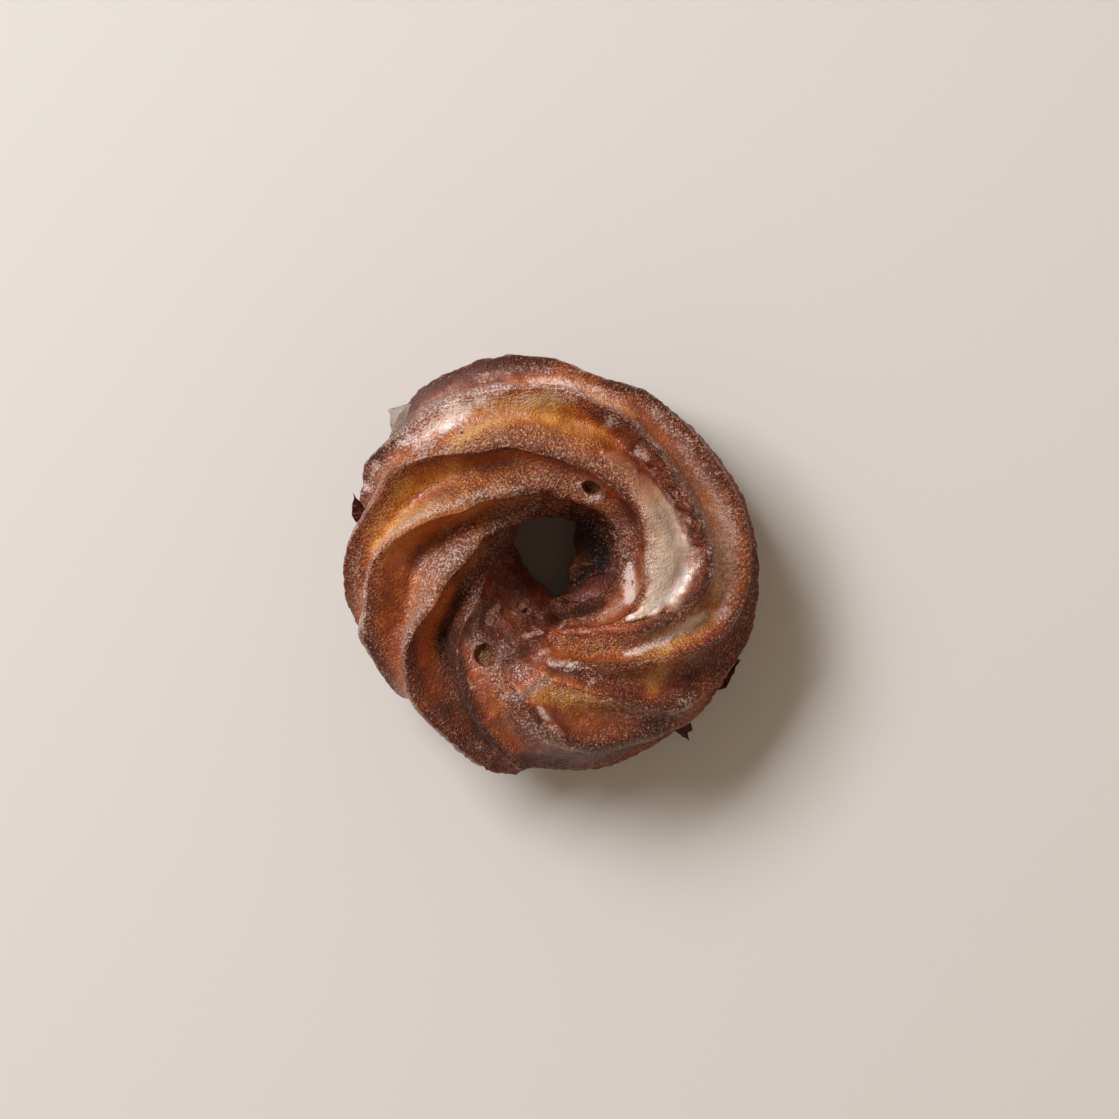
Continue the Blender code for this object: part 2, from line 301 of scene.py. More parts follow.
def gridMesh(name, place, masks):
    rows, columns = place.shape[:2]
    mesh = bpy.data.meshes.new(name)
    number = np.arange(rows * columns).reshape(rows, columns)
    nextRow, nextColumn = np.roll(number, -1, 0), np.roll(number, -1, 1)
    across = np.roll(nextRow, -1, 1)
    faces = np.stack([number, nextRow, across, nextColumn], -1).reshape(-1, 4)
    mesh.from_pydata((place.reshape(-1, 3) * mm).tolist(), [], faces.tolist())
    for key, values in masks.items():
        layer = mesh.attributes.new(key, "FLOAT", "POINT")
        layer.data.foreach_set("value", np.ascontiguousarray(values, np.float32).ravel())
    return mesh


def fitToFrame(place):
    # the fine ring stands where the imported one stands
    low, high = place.reshape(-1, 3).min(0), place.reshape(-1, 3).max(0)
    middle = (low + high) / 2
    target = (np.array(boxLow) + np.array(boxHigh)) / 2 / mm
    return place + [target[0] - middle[0], target[1] - middle[1], boxLow[2] / mm - low[2]]


# Places on the ring are given by turn and by reach, the distance from the hole's middle in plan.
# A fold is a welt along a line of such places, with its own width on the line's left and right.
folds = [
    {"name": "seamCrest", "left": 2.6, "right": 0.9, "height": 1.3,
     "line": [(303, 15.6), (290, 15.3), (280, 15.1), (272, 15.1), (264, 15.9), (256, 17.2), (250, 18.8),
              (244, 21.2), (239, 23.4)]},
    {"name": "seamLip", "left": 0.9, "right": 1.0, "height": 0.8,
     "line": [(322, 15.6), (312, 14.8), (303, 13.9), (297, 13.3), (288, 12.6), (280, 12.9), (273, 13.9)]},
    {"name": "lobeLeftArm", "left": 1.3, "right": 3.4, "height": 1.1,
     "line": [(274, 22.2), (266, 23.6), (262, 25.0), (257, 27.4), (253, 28.8), (249, 30.4)]},
    {"name": "lobeRightArm", "left": 2.8, "right": 0.7, "height": 1.2,
     "line": [(261, 28.8), (265, 30.8), (268.5, 33.0), (271.5, 35.2), (273.5, 37.2), (278, 38.6)]},
    {"name": "lobeSmallArm", "left": 1.0, "right": 1.0, "height": 0.6,
     "line": [(250, 33), (248.5, 35.5), (246, 37.5)]},
    {"name": "crestWrinkle", "left": 0.6, "right": 0.6, "height": -0.7,
     "line": [(194, 23.6), (192.6, 26.5), (192.9, 28.8), (193.6, 30.6)]},
    {"name": "thirdDivide", "left": 1.6, "right": 2.4, "height": 0.7,
     "line": [(134, 33.5), (122, 32.0), (110, 30.6), (98, 29.2), (88, 28.6)]},
    {"name": "footCrest", "left": 1.4, "right": 1.0, "height": 1.0,
     "line": [(337, 11.5), (325, 10.0), (315, 9.2), (300, 8.3), (285, 7.9), (270, 8.3)]},
    {"name": "footGroove", "left": 1.2, "right": 1.2, "height": -1.0,
     "line": [(326, 13.2), (312, 12.4), (298, 11.8), (284, 11.5), (270, 11.7)]},
    {"name": "innerLobeFold", "left": 0.8, "right": 0.8, "height": -0.6,
     "line": [(226, 10.5), (233, 11.6), (240, 12.2), (246, 12.0)]},
    {"name": "innerLobeLump", "left": 2.6, "right": 2.6, "height": 0.8,
     "line": [(250, 11.0), (240, 14.5), (232, 17.5)]},
    {"name": "innerFurrow", "left": 1.8, "right": 1.8, "height": -0.9,
     "line": [(212, 15.5), (219, 18.0), (225, 20.5)]},
]

# A pit is a burst bubble: its half width along the ring and across it, and its depth.
pits = [
    {"name": "topPit", "turn": 62.5, "reach": 18.0, "along": 2.05, "across": 1.35, "depth": 2.0},
    {"name": "seamPit", "turn": 233.5, "reach": 24.0, "along": 2.35, "across": 2.3, "depth": 1.8},
    {"name": "holePit", "turn": 241.0, "reach": 11.7, "along": 0.9, "across": 0.8, "depth": 1.2},
    {"name": "patchPitOuter", "turn": 346.5, "reach": 17.3, "along": 0.58, "across": 0.32, "depth": 0.9},
    {"name": "patchPitInner", "turn": 346.0, "reach": 15.5, "along": 0.52, "across": 0.28, "depth": 0.9},
    {"name": "flankPit", "turn": 124.5, "reach": 33.8, "along": 0.4, "across": 0.26, "depth": 0.6},
]

# A strip is an amount and a line of places (turn, reach, half width). Amounts add up where strips cross,
# and one below 0 takes some away.
# how brown the crust is, with painted shade and painted light where the strips below say so
brownAndShadeStrips = [
    # the hole's wall and its brink, where much of the darkness is painted shade
    # painted shade: darker on the hole's right-hand wall, which lies in deep shade
    (0.25, [(50, 13, 2), (35, 13, 3), (15, 12, 3), (0, 11.5, 2.5), (350, 11.5, 2)]),
    # painted shade: the hole's inner wall at the top faces away from the window and is painted darker
    (0.2, [(60, 13.5, 1.6), (80, 12.5, 2.2), (100, 12.5, 2.4), (120, 13, 2.4), (140, 14, 2.2),
           (155, 14.5, 2)]),
    # painted shade: the lower part of that wall, in the deepest shade, painted nearly black
    (0.9, [(64, 10, 3), (45, 10, 4), (25, 10, 4), (5, 9.6, 3.4), (350, 8, 2.2), (325, 6.5, 1.6),
           (300, 6, 1.5), (280, 5.5, 1.6)]),
    (0.16, [(170, 10, 3), (185, 10, 3.5), (200, 9.5, 3.5), (215, 9, 3), (235, 8, 2), (255, 7.5, 1.5)]),
    (0.2, [(265, 10, 3), (290, 10, 3), (320, 11, 3), (345, 12, 3)]),
    (0.2, [(268, 11.8, 1), (280, 11.6, 1.1), (295, 11.8, 1.2), (308, 12.6, 1.1), (320, 13.6, 0.9)]),
    (0.16, [(272, 9.5, 1), (285, 9.6, 1.2), (300, 9.9, 1.4), (315, 11, 1.6), (328, 12.2, 1.6)]),
    (0.12, [(275, 13.5, 2), (295, 14, 2.4), (312, 14, 1.6)]),
    (0.14, [(338, 13.5, 1.6), (352, 14, 1.8), (8, 14, 1.8)]),
    # the ring's inner top
    (0.2, [(0, 16.5, 2.5), (20, 16.5, 2.5), (36, 18, 3)]),
    (0.1, [(40, 21.5, 2.5), (60, 19, 2.5), (80, 18.5, 3), (100, 18.5, 3), (118, 19.5, 2.5)]),
    (0.2, [(50, 22, 1.2), (40, 21, 1.2), (30, 20.2, 1.2), (20, 19.8, 1), (10, 19.3, 0.7)]),
    (-0.08, [(140, 22, 1.6), (150, 22.5, 2)]),
    (-0.08, [(142, 16.5, 2), (160, 16.5, 2.4), (176, 17, 2)]),
    (0.14, [(162, 19, 2), (170, 21.5, 3), (180, 25, 3)]),
    (-0.12, [(194, 20.5, 1.5), (201, 23, 1.6), (206, 24.5, 1.2)]),
    (0.24, [(205, 19, 4), (222, 20, 7), (240, 20, 7), (260, 12, 3)]),
    (0.2, [(212, 15.5, 2), (220, 18, 2), (226, 20.5, 1.2)]),
    (0.12, [(212, 18.6, 1.4), (219, 20.6, 1.6)]),
    (0.1, [(218, 17, 1.6), (226, 18, 1.6)]),
    (0.15, [(224, 22.2, 1.3), (229, 20.6, 1.2)]),
    (0.08, [(226, 21, 3), (236, 21, 3)]),
    (0.25, [(240, 22.8, 0.8), (246, 20.4, 0.9), (252, 18.4, 0.8), (258, 17, 0.7), (266, 15.8, 0.6)]),
    (0.1, [(246, 22.6, 1.6)]),
    (0.06, [(274, 22.6, 1.2), (284, 22.8, 1.2)]),
    # the middle of the top
    (0.05, [(40, 27, 3), (60, 27, 4), (80, 26, 4), (100, 25, 3)]),
    (0.08, [(44, 27, 2), (56, 27, 2.6), (68, 27, 2.4)]),
    (-0.12, [(85, 28.5, 2.5), (75, 28, 3), (65, 27.8, 2.5), (58, 27.5, 1.8)]),
    (0.3, [(86, 36.5, 1.6), (78, 35, 1.8), (68, 33.2, 1.8), (60, 32, 1.8), (50, 30.3, 1.6), (40, 30, 1.6),
           (30, 29.6, 1.6), (20, 30, 1.6), (10, 31, 1.7), (0, 32, 1.7), (350, 31.8, 1.6), (342, 29.6, 1.8),
           (335, 27.4, 1.8), (328, 25, 1.6), (322, 23.4, 1.2)]),
    (0.08, [(100, 22, 1.5), (115, 23, 2), (125, 24.5, 2)]),
    # painted light: a little paler over the lit outer flank of the second ridge
    (-0.06, [(122, 19.8, 1.2), (132, 21.5, 2), (142, 24.5, 2.8), (152, 28, 3.2), (160, 31.5, 3),
             (168, 35.5, 2), (176, 38.5, 1)]),
    (0.12, [(134, 22, 1.6), (142, 25, 2.4), (150, 28, 1.8)]),
    (-0.06, [(152, 29, 1.6), (145, 26.5, 2), (138, 24.5, 1.6)]),
    (0.04, [(152, 37.8, 1), (145, 36, 1.2), (138, 33, 1.3), (130, 30, 1.2), (120, 27.4, 1.3),
            (110, 25.8, 1.3), (100, 24.4, 1.3), (90, 22.6, 1.4), (80, 21.4, 1.4), (70, 20.8, 1.5),
            (60, 20.7, 1.6), (50, 20.6, 1.6), (40, 19.4, 1.4), (30, 19.2, 1.3), (20, 19.1, 1.1),
            (10, 18.9, 0.9), (0, 18.7, 0.6), (350, 19.2, 0.5), (342, 20, 0.5)]),
    (0.12, [(158, 34.5, 1.2), (150, 30.5, 1.2), (143, 26.8, 1.3)]),
    (0.02, [(166, 18, 1.5), (172, 20.5, 2.5), (178, 23.5, 4), (186, 26, 4.5), (194, 28.5, 3.5),
            (201, 31.8, 2.4), (206, 35, 1.5)]),
    # painted highlight: paler along the second ridge's crest
    (-0.1, [(178, 39.2, 1.2), (170, 35.8, 1.4), (163, 31.3, 1.6), (156, 28.2, 1.6), (151, 25.9, 1.6),
            (144, 23.2, 1.5), (137, 21.3, 1.3), (126, 19.6, 1.1)]),
    # painted light: paler on the steep side under the second ridge, which faces away from the window
    (-0.14, [(180, 36.6, 1), (172, 33.6, 1.5), (164, 29.6, 1.5), (156, 25.6, 1.5), (147, 21.8, 1.3),
             (136, 19.2, 1)]),
    # painted shade: darker along the deep groove beside the lobe
    (0.22, [(192, 19.5, 1.8), (200, 21.5, 2.2), (207, 24, 1.8), (213, 27.5, 1.6), (220, 29, 1.8),
            (228, 31, 1.8), (236, 33.5, 1.6), (243, 36.5, 1.6), (249, 40, 1)]),
    (0.16, [(192, 32.6, 0.8), (182, 31.2, 0.9), (174, 28.5, 0.9)]),
    # painted light: paler on the steep side under the first ridge, which faces away from the window
    (-0.1, [(194, 22.6, 1.2), (200, 24.5, 1.6), (206, 27, 2), (211, 31, 2.2), (217, 34.5, 2.4),
            (225, 37, 2.4)]),
    # painted shade: the deep groove beside the lobe, darker again
    (0.14, [(196, 20.5, 1.4), (203, 23.5, 1.8), (210, 26.5, 2), (216, 29, 2.2), (224, 30, 2.2),
            (232, 32.5, 2.2), (239, 35.5, 2), (246, 39, 1.6), (251, 41.5, 1.2)]),
    (-0.08, [(200, 27, 1.6)]),
    (-0.1, [(205, 40.5, 1.2), (195, 39, 1.6), (186, 38.5, 1.4), (178, 37, 1.5), (171, 33.8, 1.5),
            (165, 30.5, 1.3), (158, 27, 1.2), (150, 22.5, 1.2), (142, 20, 1), (132, 17.8, 1)]),
    (0.05, [(208, 38.5, 2), (195, 36, 2.6), (185, 34.5, 2.6), (175, 31, 2), (168, 27, 2), (160, 22, 2),
            (150, 17.5, 2)]),
    (0.1, [(212, 26, 1.5), (218, 28.5, 2), (225, 30, 2)]),
    (0.15, [(217, 22.4, 1.2), (223, 23.8, 1.4)]),
    (-0.1, [(262, 24, 1.4), (270, 23.8, 1.4)]),
    (-0.22, [(262, 28.5, 1.5), (270, 28, 2.6), (278, 28.8, 2.6), (285, 30.5, 2.2)]),
    (0.28, [(268, 22.6, 1), (276, 22.9, 1.3), (284, 24.2, 1.5), (291, 26.8, 1.8), (298, 30, 2.2),
            (304, 33.2, 2)]),
    (-0.07, [(292, 30, 5), (310, 29, 5), (330, 28, 4)]),
    (0.1, [(294, 24.6, 1.2), (300, 26.2, 1.7), (307, 28.3, 1.7), (314, 30.2, 1.4)]),
    (0.08, [(312, 24.2, 1.2), (304, 23.2, 1.2)]),
    (-0.1, [(332, 31, 1.4), (322, 30, 1.6), (308, 28.4, 1.2)]),
    # the outer top
    (0.15, [(52, 33.2, 1.2), (40, 33, 1.2), (25, 33.2, 1.4), (10, 33.8, 1.2), (355, 34, 1.2),
            (345, 33.5, 1.5)]),
    (0.07, [(70, 37, 4), (50, 37, 4), (30, 37.5, 4)]),
    (-0.18, [(74, 36.4, 1), (68, 36.2, 1.3), (62, 36, 1)]),
    (-0.08, [(84, 35.8, 1.4), (76, 35.6, 1.4)]),
    (-0.2, [(84, 37, 1.5), (98, 37, 2), (112, 37.5, 2), (124, 38.5, 2), (134, 39, 2)]),
    (-0.15, [(96, 35.2, 1.4), (84, 35.4, 2), (74, 35, 1.6)]),
    (-0.1, [(98, 35, 2), (88, 36, 2.4), (76, 36, 2)]),
    (-0.12, [(122, 33, 1.8), (132, 31.5, 2.4), (140, 31, 1.6)]),
    (-0.16, [(128, 33.5, 1.5), (115, 32.5, 2), (100, 33, 2.2), (90, 32, 2)]),
    (-0.12, [(128, 35.6, 0.5), (133, 35.3, 0.9), (139, 34.8, 0.5)]),
    (-0.08, [(150, 36, 1.2), (158, 36.5, 1.5)]),
    (0.12, [(150, 40, 1.2), (140, 37, 1), (128, 36.6, 0.8)]),
    (-0.08, [(164, 31.5, 2), (176, 32, 2.6), (186, 31.5, 1.8)]),
    (-0.08, [(172, 38, 3), (160, 35, 4), (148, 32, 4), (138, 30, 3)]),
    (0.1, [(203, 33, 5), (218, 35, 6), (235, 37, 5), (248, 41, 3)]),
    # painted shade: the crest along the lobe's edge is painted darker, so that it catches less light
    (0.2, [(216, 25, 0.8), (224, 27.5, 0.8), (230, 30, 0.8), (236, 33.5, 0.8), (245, 39, 0.8),
           (254, 41.6, 0.8)]),
    (0.18, [(218, 36, 2.4), (226, 37, 3), (234, 38.5, 3)]),
    (-0.1, [(244, 37.5, 1.4), (252, 38.5, 1.6)]),
    (0.16, [(252, 30, 1.6), (256, 32, 2.4), (261, 36, 2)]),
    (0.3, [(262, 31.5, 0.8), (265, 34, 0.9), (268, 37, 0.8)]),
    (0.12, [(262, 36, 6), (280, 36, 6), (300, 36, 5)]),
    (-0.12, [(342, 34, 2.5), (332, 33, 3), (322, 32.5, 2.6), (308, 33, 2.4)]),
    (-0.1, [(353, 35.2, 1.5), (343, 35.6, 1.6)]),
    # the rim
    (0.08, [(38, 39.6, 1.6), (26, 39.8, 1.6)]),
    (0.45, [(50, 41.6, 0.5), (58, 42.3, 1.3), (66, 41.8, 1.4), (74, 40.9, 0.9)]),
    (0.1, [(58, 40, 2), (45, 40, 2.6), (30, 40.5, 3), (12, 41.5, 2.6)]),
    (0.08, [(62, 38.6, 1.4), (50, 38.8, 1.8), (36, 39.2, 1.8), (24, 39.6, 1.6)]),
    (0.22, [(92, 43.5, 2.5), (105, 44.3, 3), (120, 44.6, 3), (135, 44.6, 2.5), (148, 44, 2)]),
    (0.35, [(92, 45.2, 1), (110, 46.3, 1.2), (125, 46.8, 1.3), (140, 46, 1.4), (150, 45.2, 1)]),
    (0.14, [(93, 43, 1.8), (104, 43.4, 2.2), (116, 43.8, 2.2)]),
    (0.08, [(136, 44.2, 1.6), (144, 43.8, 1.4)]),
    (0.1, [(138, 44.8, 1.2), (148, 44.4, 1.2)]),
    (-0.12, [(142, 38, 2), (150, 38.5, 3), (160, 39.5, 3), (172, 40.5, 2.6)]),
    (0.16, [(150, 43.4, 2), (157, 43.6, 2), (164, 42.6, 1.4)]),
    (0.2, [(200, 43.5, 1), (215, 43.2, 1)]),
    (0.08, [(205, 42, 2), (195, 42, 2.4), (185, 42, 2.4), (175, 41, 2)]),
    (0.16, [(232, 41.5, 2.6), (240, 42, 3.5), (250, 43.5, 3.2), (258, 45.5, 2.4), (262, 46.5, 1)]),
    (0.14, [(253, 44, 2), (265, 42.4, 2.5), (280, 42.8, 2.5), (295, 42.8, 2.5)]),
    (0.18, [(262, 42.3, 1.8), (275, 42.6, 2), (290, 42.5, 2), (303, 42.3, 2.5)]),
    (0.05, [(266, 42.6, 1.8), (278, 42.8, 2), (290, 42.8, 2)]),
    (0.24, [(302, 41, 3), (312, 39, 3.2), (322, 38.2, 3.4), (332, 40, 4), (342, 42.5, 3), (352, 43.8, 1.8),
            (4, 44, 1)]),
    (0.26, [(302, 41.6, 1.6), (310, 41, 2), (317, 41, 1.4)]),
    (0.1, [(303, 41.6, 1.4), (314, 41.6, 1.4)]),
]
# how milky the glaze is; some strips, marked below, are painted highlights and glints
glazeAndHighlightStrips = [
    # the hole's wall and its brink
    (-0.18, [(20, 11.5, 2), (0, 11.5, 2.4), (340, 12, 2.6), (320, 12, 2.4), (304, 12, 2)]),
    (0.35, [(28, 14.6, 0.4), (18, 14.9, 0.5), (8, 15.2, 0.5)]),
    # less glaze on the hole's right-hand wall, which keeps its painted shade dark
    (-0.5, [(64, 10, 3), (45, 10, 4), (25, 10, 4), (5, 10, 3.6), (345, 9, 3), (325, 8, 2.4)]),
    (0.2, [(125, 11.5, 2.5), (145, 11.5, 3), (170, 11.5, 3), (195, 11.5, 3), (215, 11, 3), (232, 11, 2.5)]),
    (0.14, [(215, 17, 2), (225, 15.5, 3), (235, 15, 3.5), (245, 14, 3), (255, 12.5, 2.5), (262, 11, 1.5)]),
    (-0.6, [(268, 11.8, 1.4), (280, 11.6, 1.6), (295, 11.8, 1.6), (308, 12.6, 1.6), (320, 13.6, 1.4)]),
    (-0.15, [(275, 13.5, 2), (295, 14, 2.4), (312, 14, 1.6)]),
    (-0.3, [(284, 14.2, 0.8), (290, 14.2, 0.8)]),
    # painted glints along the top of the inner lip
    (0.5, [(300, 14, 0.4), (290, 12.6, 0.5), (281, 13, 0.6), (274, 14.3, 0.7)]),
    # the ring's inner top
    (0.3, [(8, 21.3, 1.2), (0, 20.6, 1.4), (352, 20.8, 1.4)]),
    (-0.2, [(50, 22, 1.2), (40, 21, 1.2), (30, 20.2, 1.2), (20, 19.8, 1)]),
    (0.35, [(56, 17, 1), (62, 15.8, 0.7)]),
    (0.1, [(56, 17.6, 2), (75, 17.8, 2.4), (90, 18, 2.2), (105, 18.6, 1.8)]),
    (0.25, [(104, 15.5, 0.9)]),
    (0.35, [(116, 17.3, 1)]),
    (0.4, [(206, 17.6, 0.7), (210.5, 20.2, 0.7), (212.5, 22.3, 0.5)]),
    (-0.2, [(224, 22.2, 1.3), (229, 20.6, 1.2)]),
    (-0.12, [(226, 21, 3), (236, 21, 3)]),
    (0.2, [(238, 20.6, 1.3), (244, 19.6, 1.2)]),
    (0.4, [(248, 16.8, 0.6), (254, 15.6, 0.6), (260, 15, 0.6)]),
    # painted glint on the lobe
    (0.45, [(262, 19.3, 0.5), (267, 18.6, 0.5)]),
    (0.45, [(268, 21.6, 0.7), (276, 21.3, 0.7), (283, 22.2, 0.7)]),
    # painted glints along the inner crest
    (0.4, [(298, 16.4, 0.4), (290, 15.9, 0.4), (283, 15.5, 0.4)]),
    # pale glaze along the inner crest, with painted glints
    (0.35, [(336, 17.6, 1.4), (328, 16.8, 1.6), (320, 16.2, 1.4), (312, 15.4, 1)]),
    (0.75, [(356, 16.4, 1.1), (350, 16.8, 1.8), (345, 17.2, 2), (340, 17.6, 1.8), (335, 18.4, 1.4)]),
    # the middle of the top
    # painted highlight: a white streak along the pool's outer edge
    (0.4, [(2, 28, 0.8), (355, 27.6, 1.2), (350, 26.8, 1.4), (344, 25.2, 1.3), (338, 23.8, 0.9)]),
    # pale along the pool's right-hand rim: milky glaze and painted highlight
    (0.5, [(12, 29.3, 0.9), (0, 30, 1.2), (350, 29.2, 1.1), (343, 27, 0.7)]),
    # painted glints: pale spots on the knuckles of the fourth ridge
    (0.7, [(17.5, 30.6, 0.9)]),
    (0.7, [(31, 30, 0.8), (28, 30, 0.7)]),
    (0.7, [(43.5, 30.6, 0.9)]),
    (-0.1, [(44, 27, 2), (56, 27, 2.6), (68, 27, 2.4)]),
    # painted glints on the fourth ridge's knuckles
    (0.9, [(53, 30.9, 1.1), (49, 30.7, 1.3)]),
    (0.06, [(80, 26.5, 1.2), (70, 26.4, 1.8), (60, 26, 2.2), (50, 25.4, 2), (44, 24.8, 1.6)]),
    (0.15, [(98, 30.5, 1.6), (86, 30, 2.2), (76, 29.6, 1.6)]),
    (0.3, [(136, 29, 1), (140, 28.4, 0.9)]),
    (-0.25, [(150, 27, 1.4), (143, 25, 1.8), (134, 23.6, 1.4)]),
    (-0.25, [(150, 34.5, 2), (140, 30, 2), (130, 27, 2.2), (120, 24.6, 2)]),
    (0.3, [(164, 17.5, 1.3), (172, 20.5, 2.2), (180, 24, 3.6), (188, 27, 3.6), (196, 29.6, 2.8),
           (203, 33, 1.8), (209, 37, 0.9), (216, 39, 0.5), (224, 41, 0.5)]),
    # painted highlight: more glaze along the second ridge's crest
    (0.12, [(178, 39.2, 0.9), (170, 35.8, 1.1), (163, 31.3, 1.3), (156, 28.2, 1.3), (151, 25.9, 1.3),
            (144, 23.2, 1.2), (137, 21.3, 1)]),
    # less glaze in the deep groove beside the lobe, to keep its painted shade dark
    (-0.3, [(200, 22, 2), (208, 26, 2.4), (216, 29.5, 3), (224, 31, 3.4), (232, 33.5, 3.2),
            (242, 37.5, 2.4)]),
    (0.35, [(200, 26.6, 1), (197, 26.8, 0.9)]),
    (-0.25, [(204, 39, 2), (195, 37, 3), (185, 35.5, 3), (175, 32, 2.4), (168, 28.5, 2.2), (160, 24, 2),
             (150, 19.5, 2)]),
    (-0.25, [(212, 26, 1.5), (218, 28.5, 2), (225, 30, 2)]),
    (0.1, [(222, 25, 1.5), (227, 22, 1.5), (238, 21, 1.5), (240, 27, 1.6), (231, 28, 1.2)]),
    (0.05, [(226, 24, 4), (238, 26, 5), (250, 27, 5)]),
    (0.06, [(240, 27.5, 1.8), (248, 25.5, 2), (256, 23.6, 1.6)]),
    # painted glint along the lobe's left arm
    (0.5, [(266, 25.4, 1.2), (262, 27, 1.5), (257, 28.6, 1.2), (252.5, 29.6, 1), (249.5, 30.3, 0.7)]),
    (0.5, [(285, 27.6, 0.6), (289, 26.2, 0.6)]),
    (-0.2, [(294, 24.6, 1), (300, 26.2, 1.4), (307, 28.3, 1.4), (314, 30.2, 1.2)]),
    (0.3, [(328, 33, 1), (320, 30.3, 1.4), (312, 28.3, 1.2)]),
    # painted highlight: a white streak on the crest at the lower right
    (0.7, [(341, 34.2, 0.9), (336, 31.8, 1.4), (330, 29.8, 1.5), (322, 27.8, 1.2), (314, 26.1, 0.9),
           (308.5, 24.9, 0.6)]),
    # the outer top
    (0.7, [(4, 32.1, 1.3), (0, 31.6, 0.9)]),
    (-0.08, [(24, 36.6, 2), (40, 36.4, 2.4), (56, 36.4, 2)]),
    (0.15, [(50, 33.8, 1.2), (40, 33.8, 1.3), (25, 34.4, 1.4), (10, 34.8, 1.4), (355, 34.6, 1.4)]),
    (0.24, [(55, 39.5, 1.5), (40, 38.5, 2.4), (25, 38.3, 3), (10, 38.5, 3.2), (355, 38, 3), (343, 37, 2.6),
            (335, 35, 1.8)]),
    (0.14, [(56, 38.5, 1.5), (40, 37.5, 2.2), (25, 37.5, 2.6), (8, 37.8, 2.6), (352, 37.5, 2.4)]),
    # painted glints: bright spots where the fourth ridge's knuckles catch the light
    (0.3, [(59, 34.6, 0.7)]),
    (0.9, [(68, 33, 2)]),
    (-0.22, [(78, 35, 1.8), (68, 33.2, 2), (60, 32, 2), (50, 30.3, 2), (40, 30, 2), (30, 29.6, 2),
             (20, 30, 2), (10, 31, 2), (0, 32, 2), (350, 31.8, 2), (342, 29.6, 2)]),
    (0.15, [(100, 35.6, 1.4), (90, 36, 1.8), (78, 36, 1.6)]),
    (0.15, [(104, 36.6, 1.6), (94, 36.6, 2), (86, 36.4, 1.6)]),
    (0.2, [(110, 37.4, 1.2), (118, 37.6, 1.6), (125, 37.8, 1.4)]),
    (0.3, [(122, 19, 1), (132, 20.6, 1.5), (142, 23.2, 2), (152, 27, 2.6), (160, 30.4, 2.2),
           (168, 34.6, 1.5), (176, 38, 0.9), (186, 40.6, 0.6), (196, 41.3, 0.5), (204, 42, 0.5)]),
    (-0.4, [(128, 35.6, 0.5), (133, 35.3, 0.9), (139, 34.8, 0.5)]),
    (0.24, [(140, 37, 2), (125, 35.5, 3), (110, 34.5, 3), (95, 35.5, 3), (80, 36.5, 2.4), (68, 36.5, 1.6)]),
    (0.08, [(145, 37.2, 0.8), (138, 34.6, 1.1), (128, 31.6, 1.5), (118, 29.4, 1.5), (108, 27.8, 1.2),
            (98, 26, 1)]),
    (-0.25, [(200, 24, 2.4), (208, 29, 3), (218, 33, 3), (232, 35, 3), (245, 38, 2)]),
    # less glaze on the same crest, as part of that painted shade
    (-0.5, [(216, 25, 0.8), (224, 27.5, 0.8), (230, 30, 0.8), (236, 33.5, 0.8), (245, 39, 0.8),
            (254, 41.6, 0.8)]),
    (-0.14, [(222, 36.5, 2), (236, 37, 2)]),
    # painted glints on the lobe
    (0.5, [(233, 30.6, 0.7), (237, 31.6, 0.7)]),
    (0.4, [(242, 31.2, 0.6)]),
    # painted glints on the lobe's right arm
    (0.5, [(264.5, 31, 0.6), (267.5, 33, 0.6)]),
    (0.06, [(266, 34, 4), (280, 38, 4), (300, 38, 3)]),
    # painted glints on the lobe's right arm
    (0.3, [(267, 34.8, 1), (269.5, 34.6, 0.8)]),
    (0.6, [(270.5, 35, 1.1), (271.5, 36.6, 0.9)]),
    (0.2, [(338, 32.6, 1.2), (332, 31.2, 1.2)]),
    (0.25, [(349, 38.2, 1), (343, 37.2, 1.6)]),
    # the rim
    (0.08, [(26, 41.6, 1.6), (42, 41.4, 2), (56, 41.2, 1.6)]),
    (-0.1, [(38, 39.6, 1.6), (26, 39.8, 1.6)]),
    (0.12, [(58, 40, 2.5), (75, 40, 4), (90, 40.5, 5), (105, 41.5, 5), (120, 42, 5), (135, 43, 4),
            (148, 43.5, 2)]),
    (-0.1, [(60, 38.6, 1.4), (50, 38.8, 1.8), (36, 39.2, 1.8), (24, 39.6, 1.6)]),
    (0.16, [(60, 40, 2), (45, 40, 3), (30, 40, 3.5), (15, 40.5, 3.5), (0, 41, 3), (345, 40, 3)]),
    (0.1, [(66, 38.3, 0.9), (74, 38.8, 1.1)]),
    # painted highlight: a white streak along the crest near the top rim
    (0.42, [(74, 38.8, 0.8), (82, 39.2, 1.1), (90, 39.3, 1.1), (97, 39.6, 0.8)]),
    (0.25, [(84, 42, 1.4), (92, 42.6, 1.5), (100, 43, 1.2), (112, 43.3, 1.2)]),
    (-0.2, [(88, 45, 1), (105, 45.8, 1.4), (120, 46.2, 1.4), (132, 46, 1.2)]),
    (-0.15, [(95, 43, 1.6), (105, 43.4, 2), (115, 43.8, 2)]),
    # the broad milky patch at the top left: glaze, and also a painted reflection of the window on it
    (0.6, [(104, 38.9, 1), (112, 38.7, 1.9), (120, 39.1, 2.5), (127.5, 39.4, 2.9), (135, 39.6, 2.6),
           (141, 41.2, 1.5)]),
    (0.2, [(126, 40.8, 0.9), (121, 39.6, 0.9), (116, 38.6, 0.8), (112, 38.2, 0.6)]),
    (-0.15, [(132, 44.6, 1.2), (142, 44.2, 1.4)]),
    (0.2, [(147, 41.8, 1.2), (142, 41.8, 1.2)]),
    (0.12, [(150, 43, 1.6), (140, 43.4, 2), (128, 43.8, 2), (116, 43.5, 1.6)]),
    (0.4, [(150, 43.8, 1), (158, 43.4, 1)]),
    (0.2, [(152, 43.6, 1.6), (158, 43.6, 2), (163, 42.8, 1.4)]),
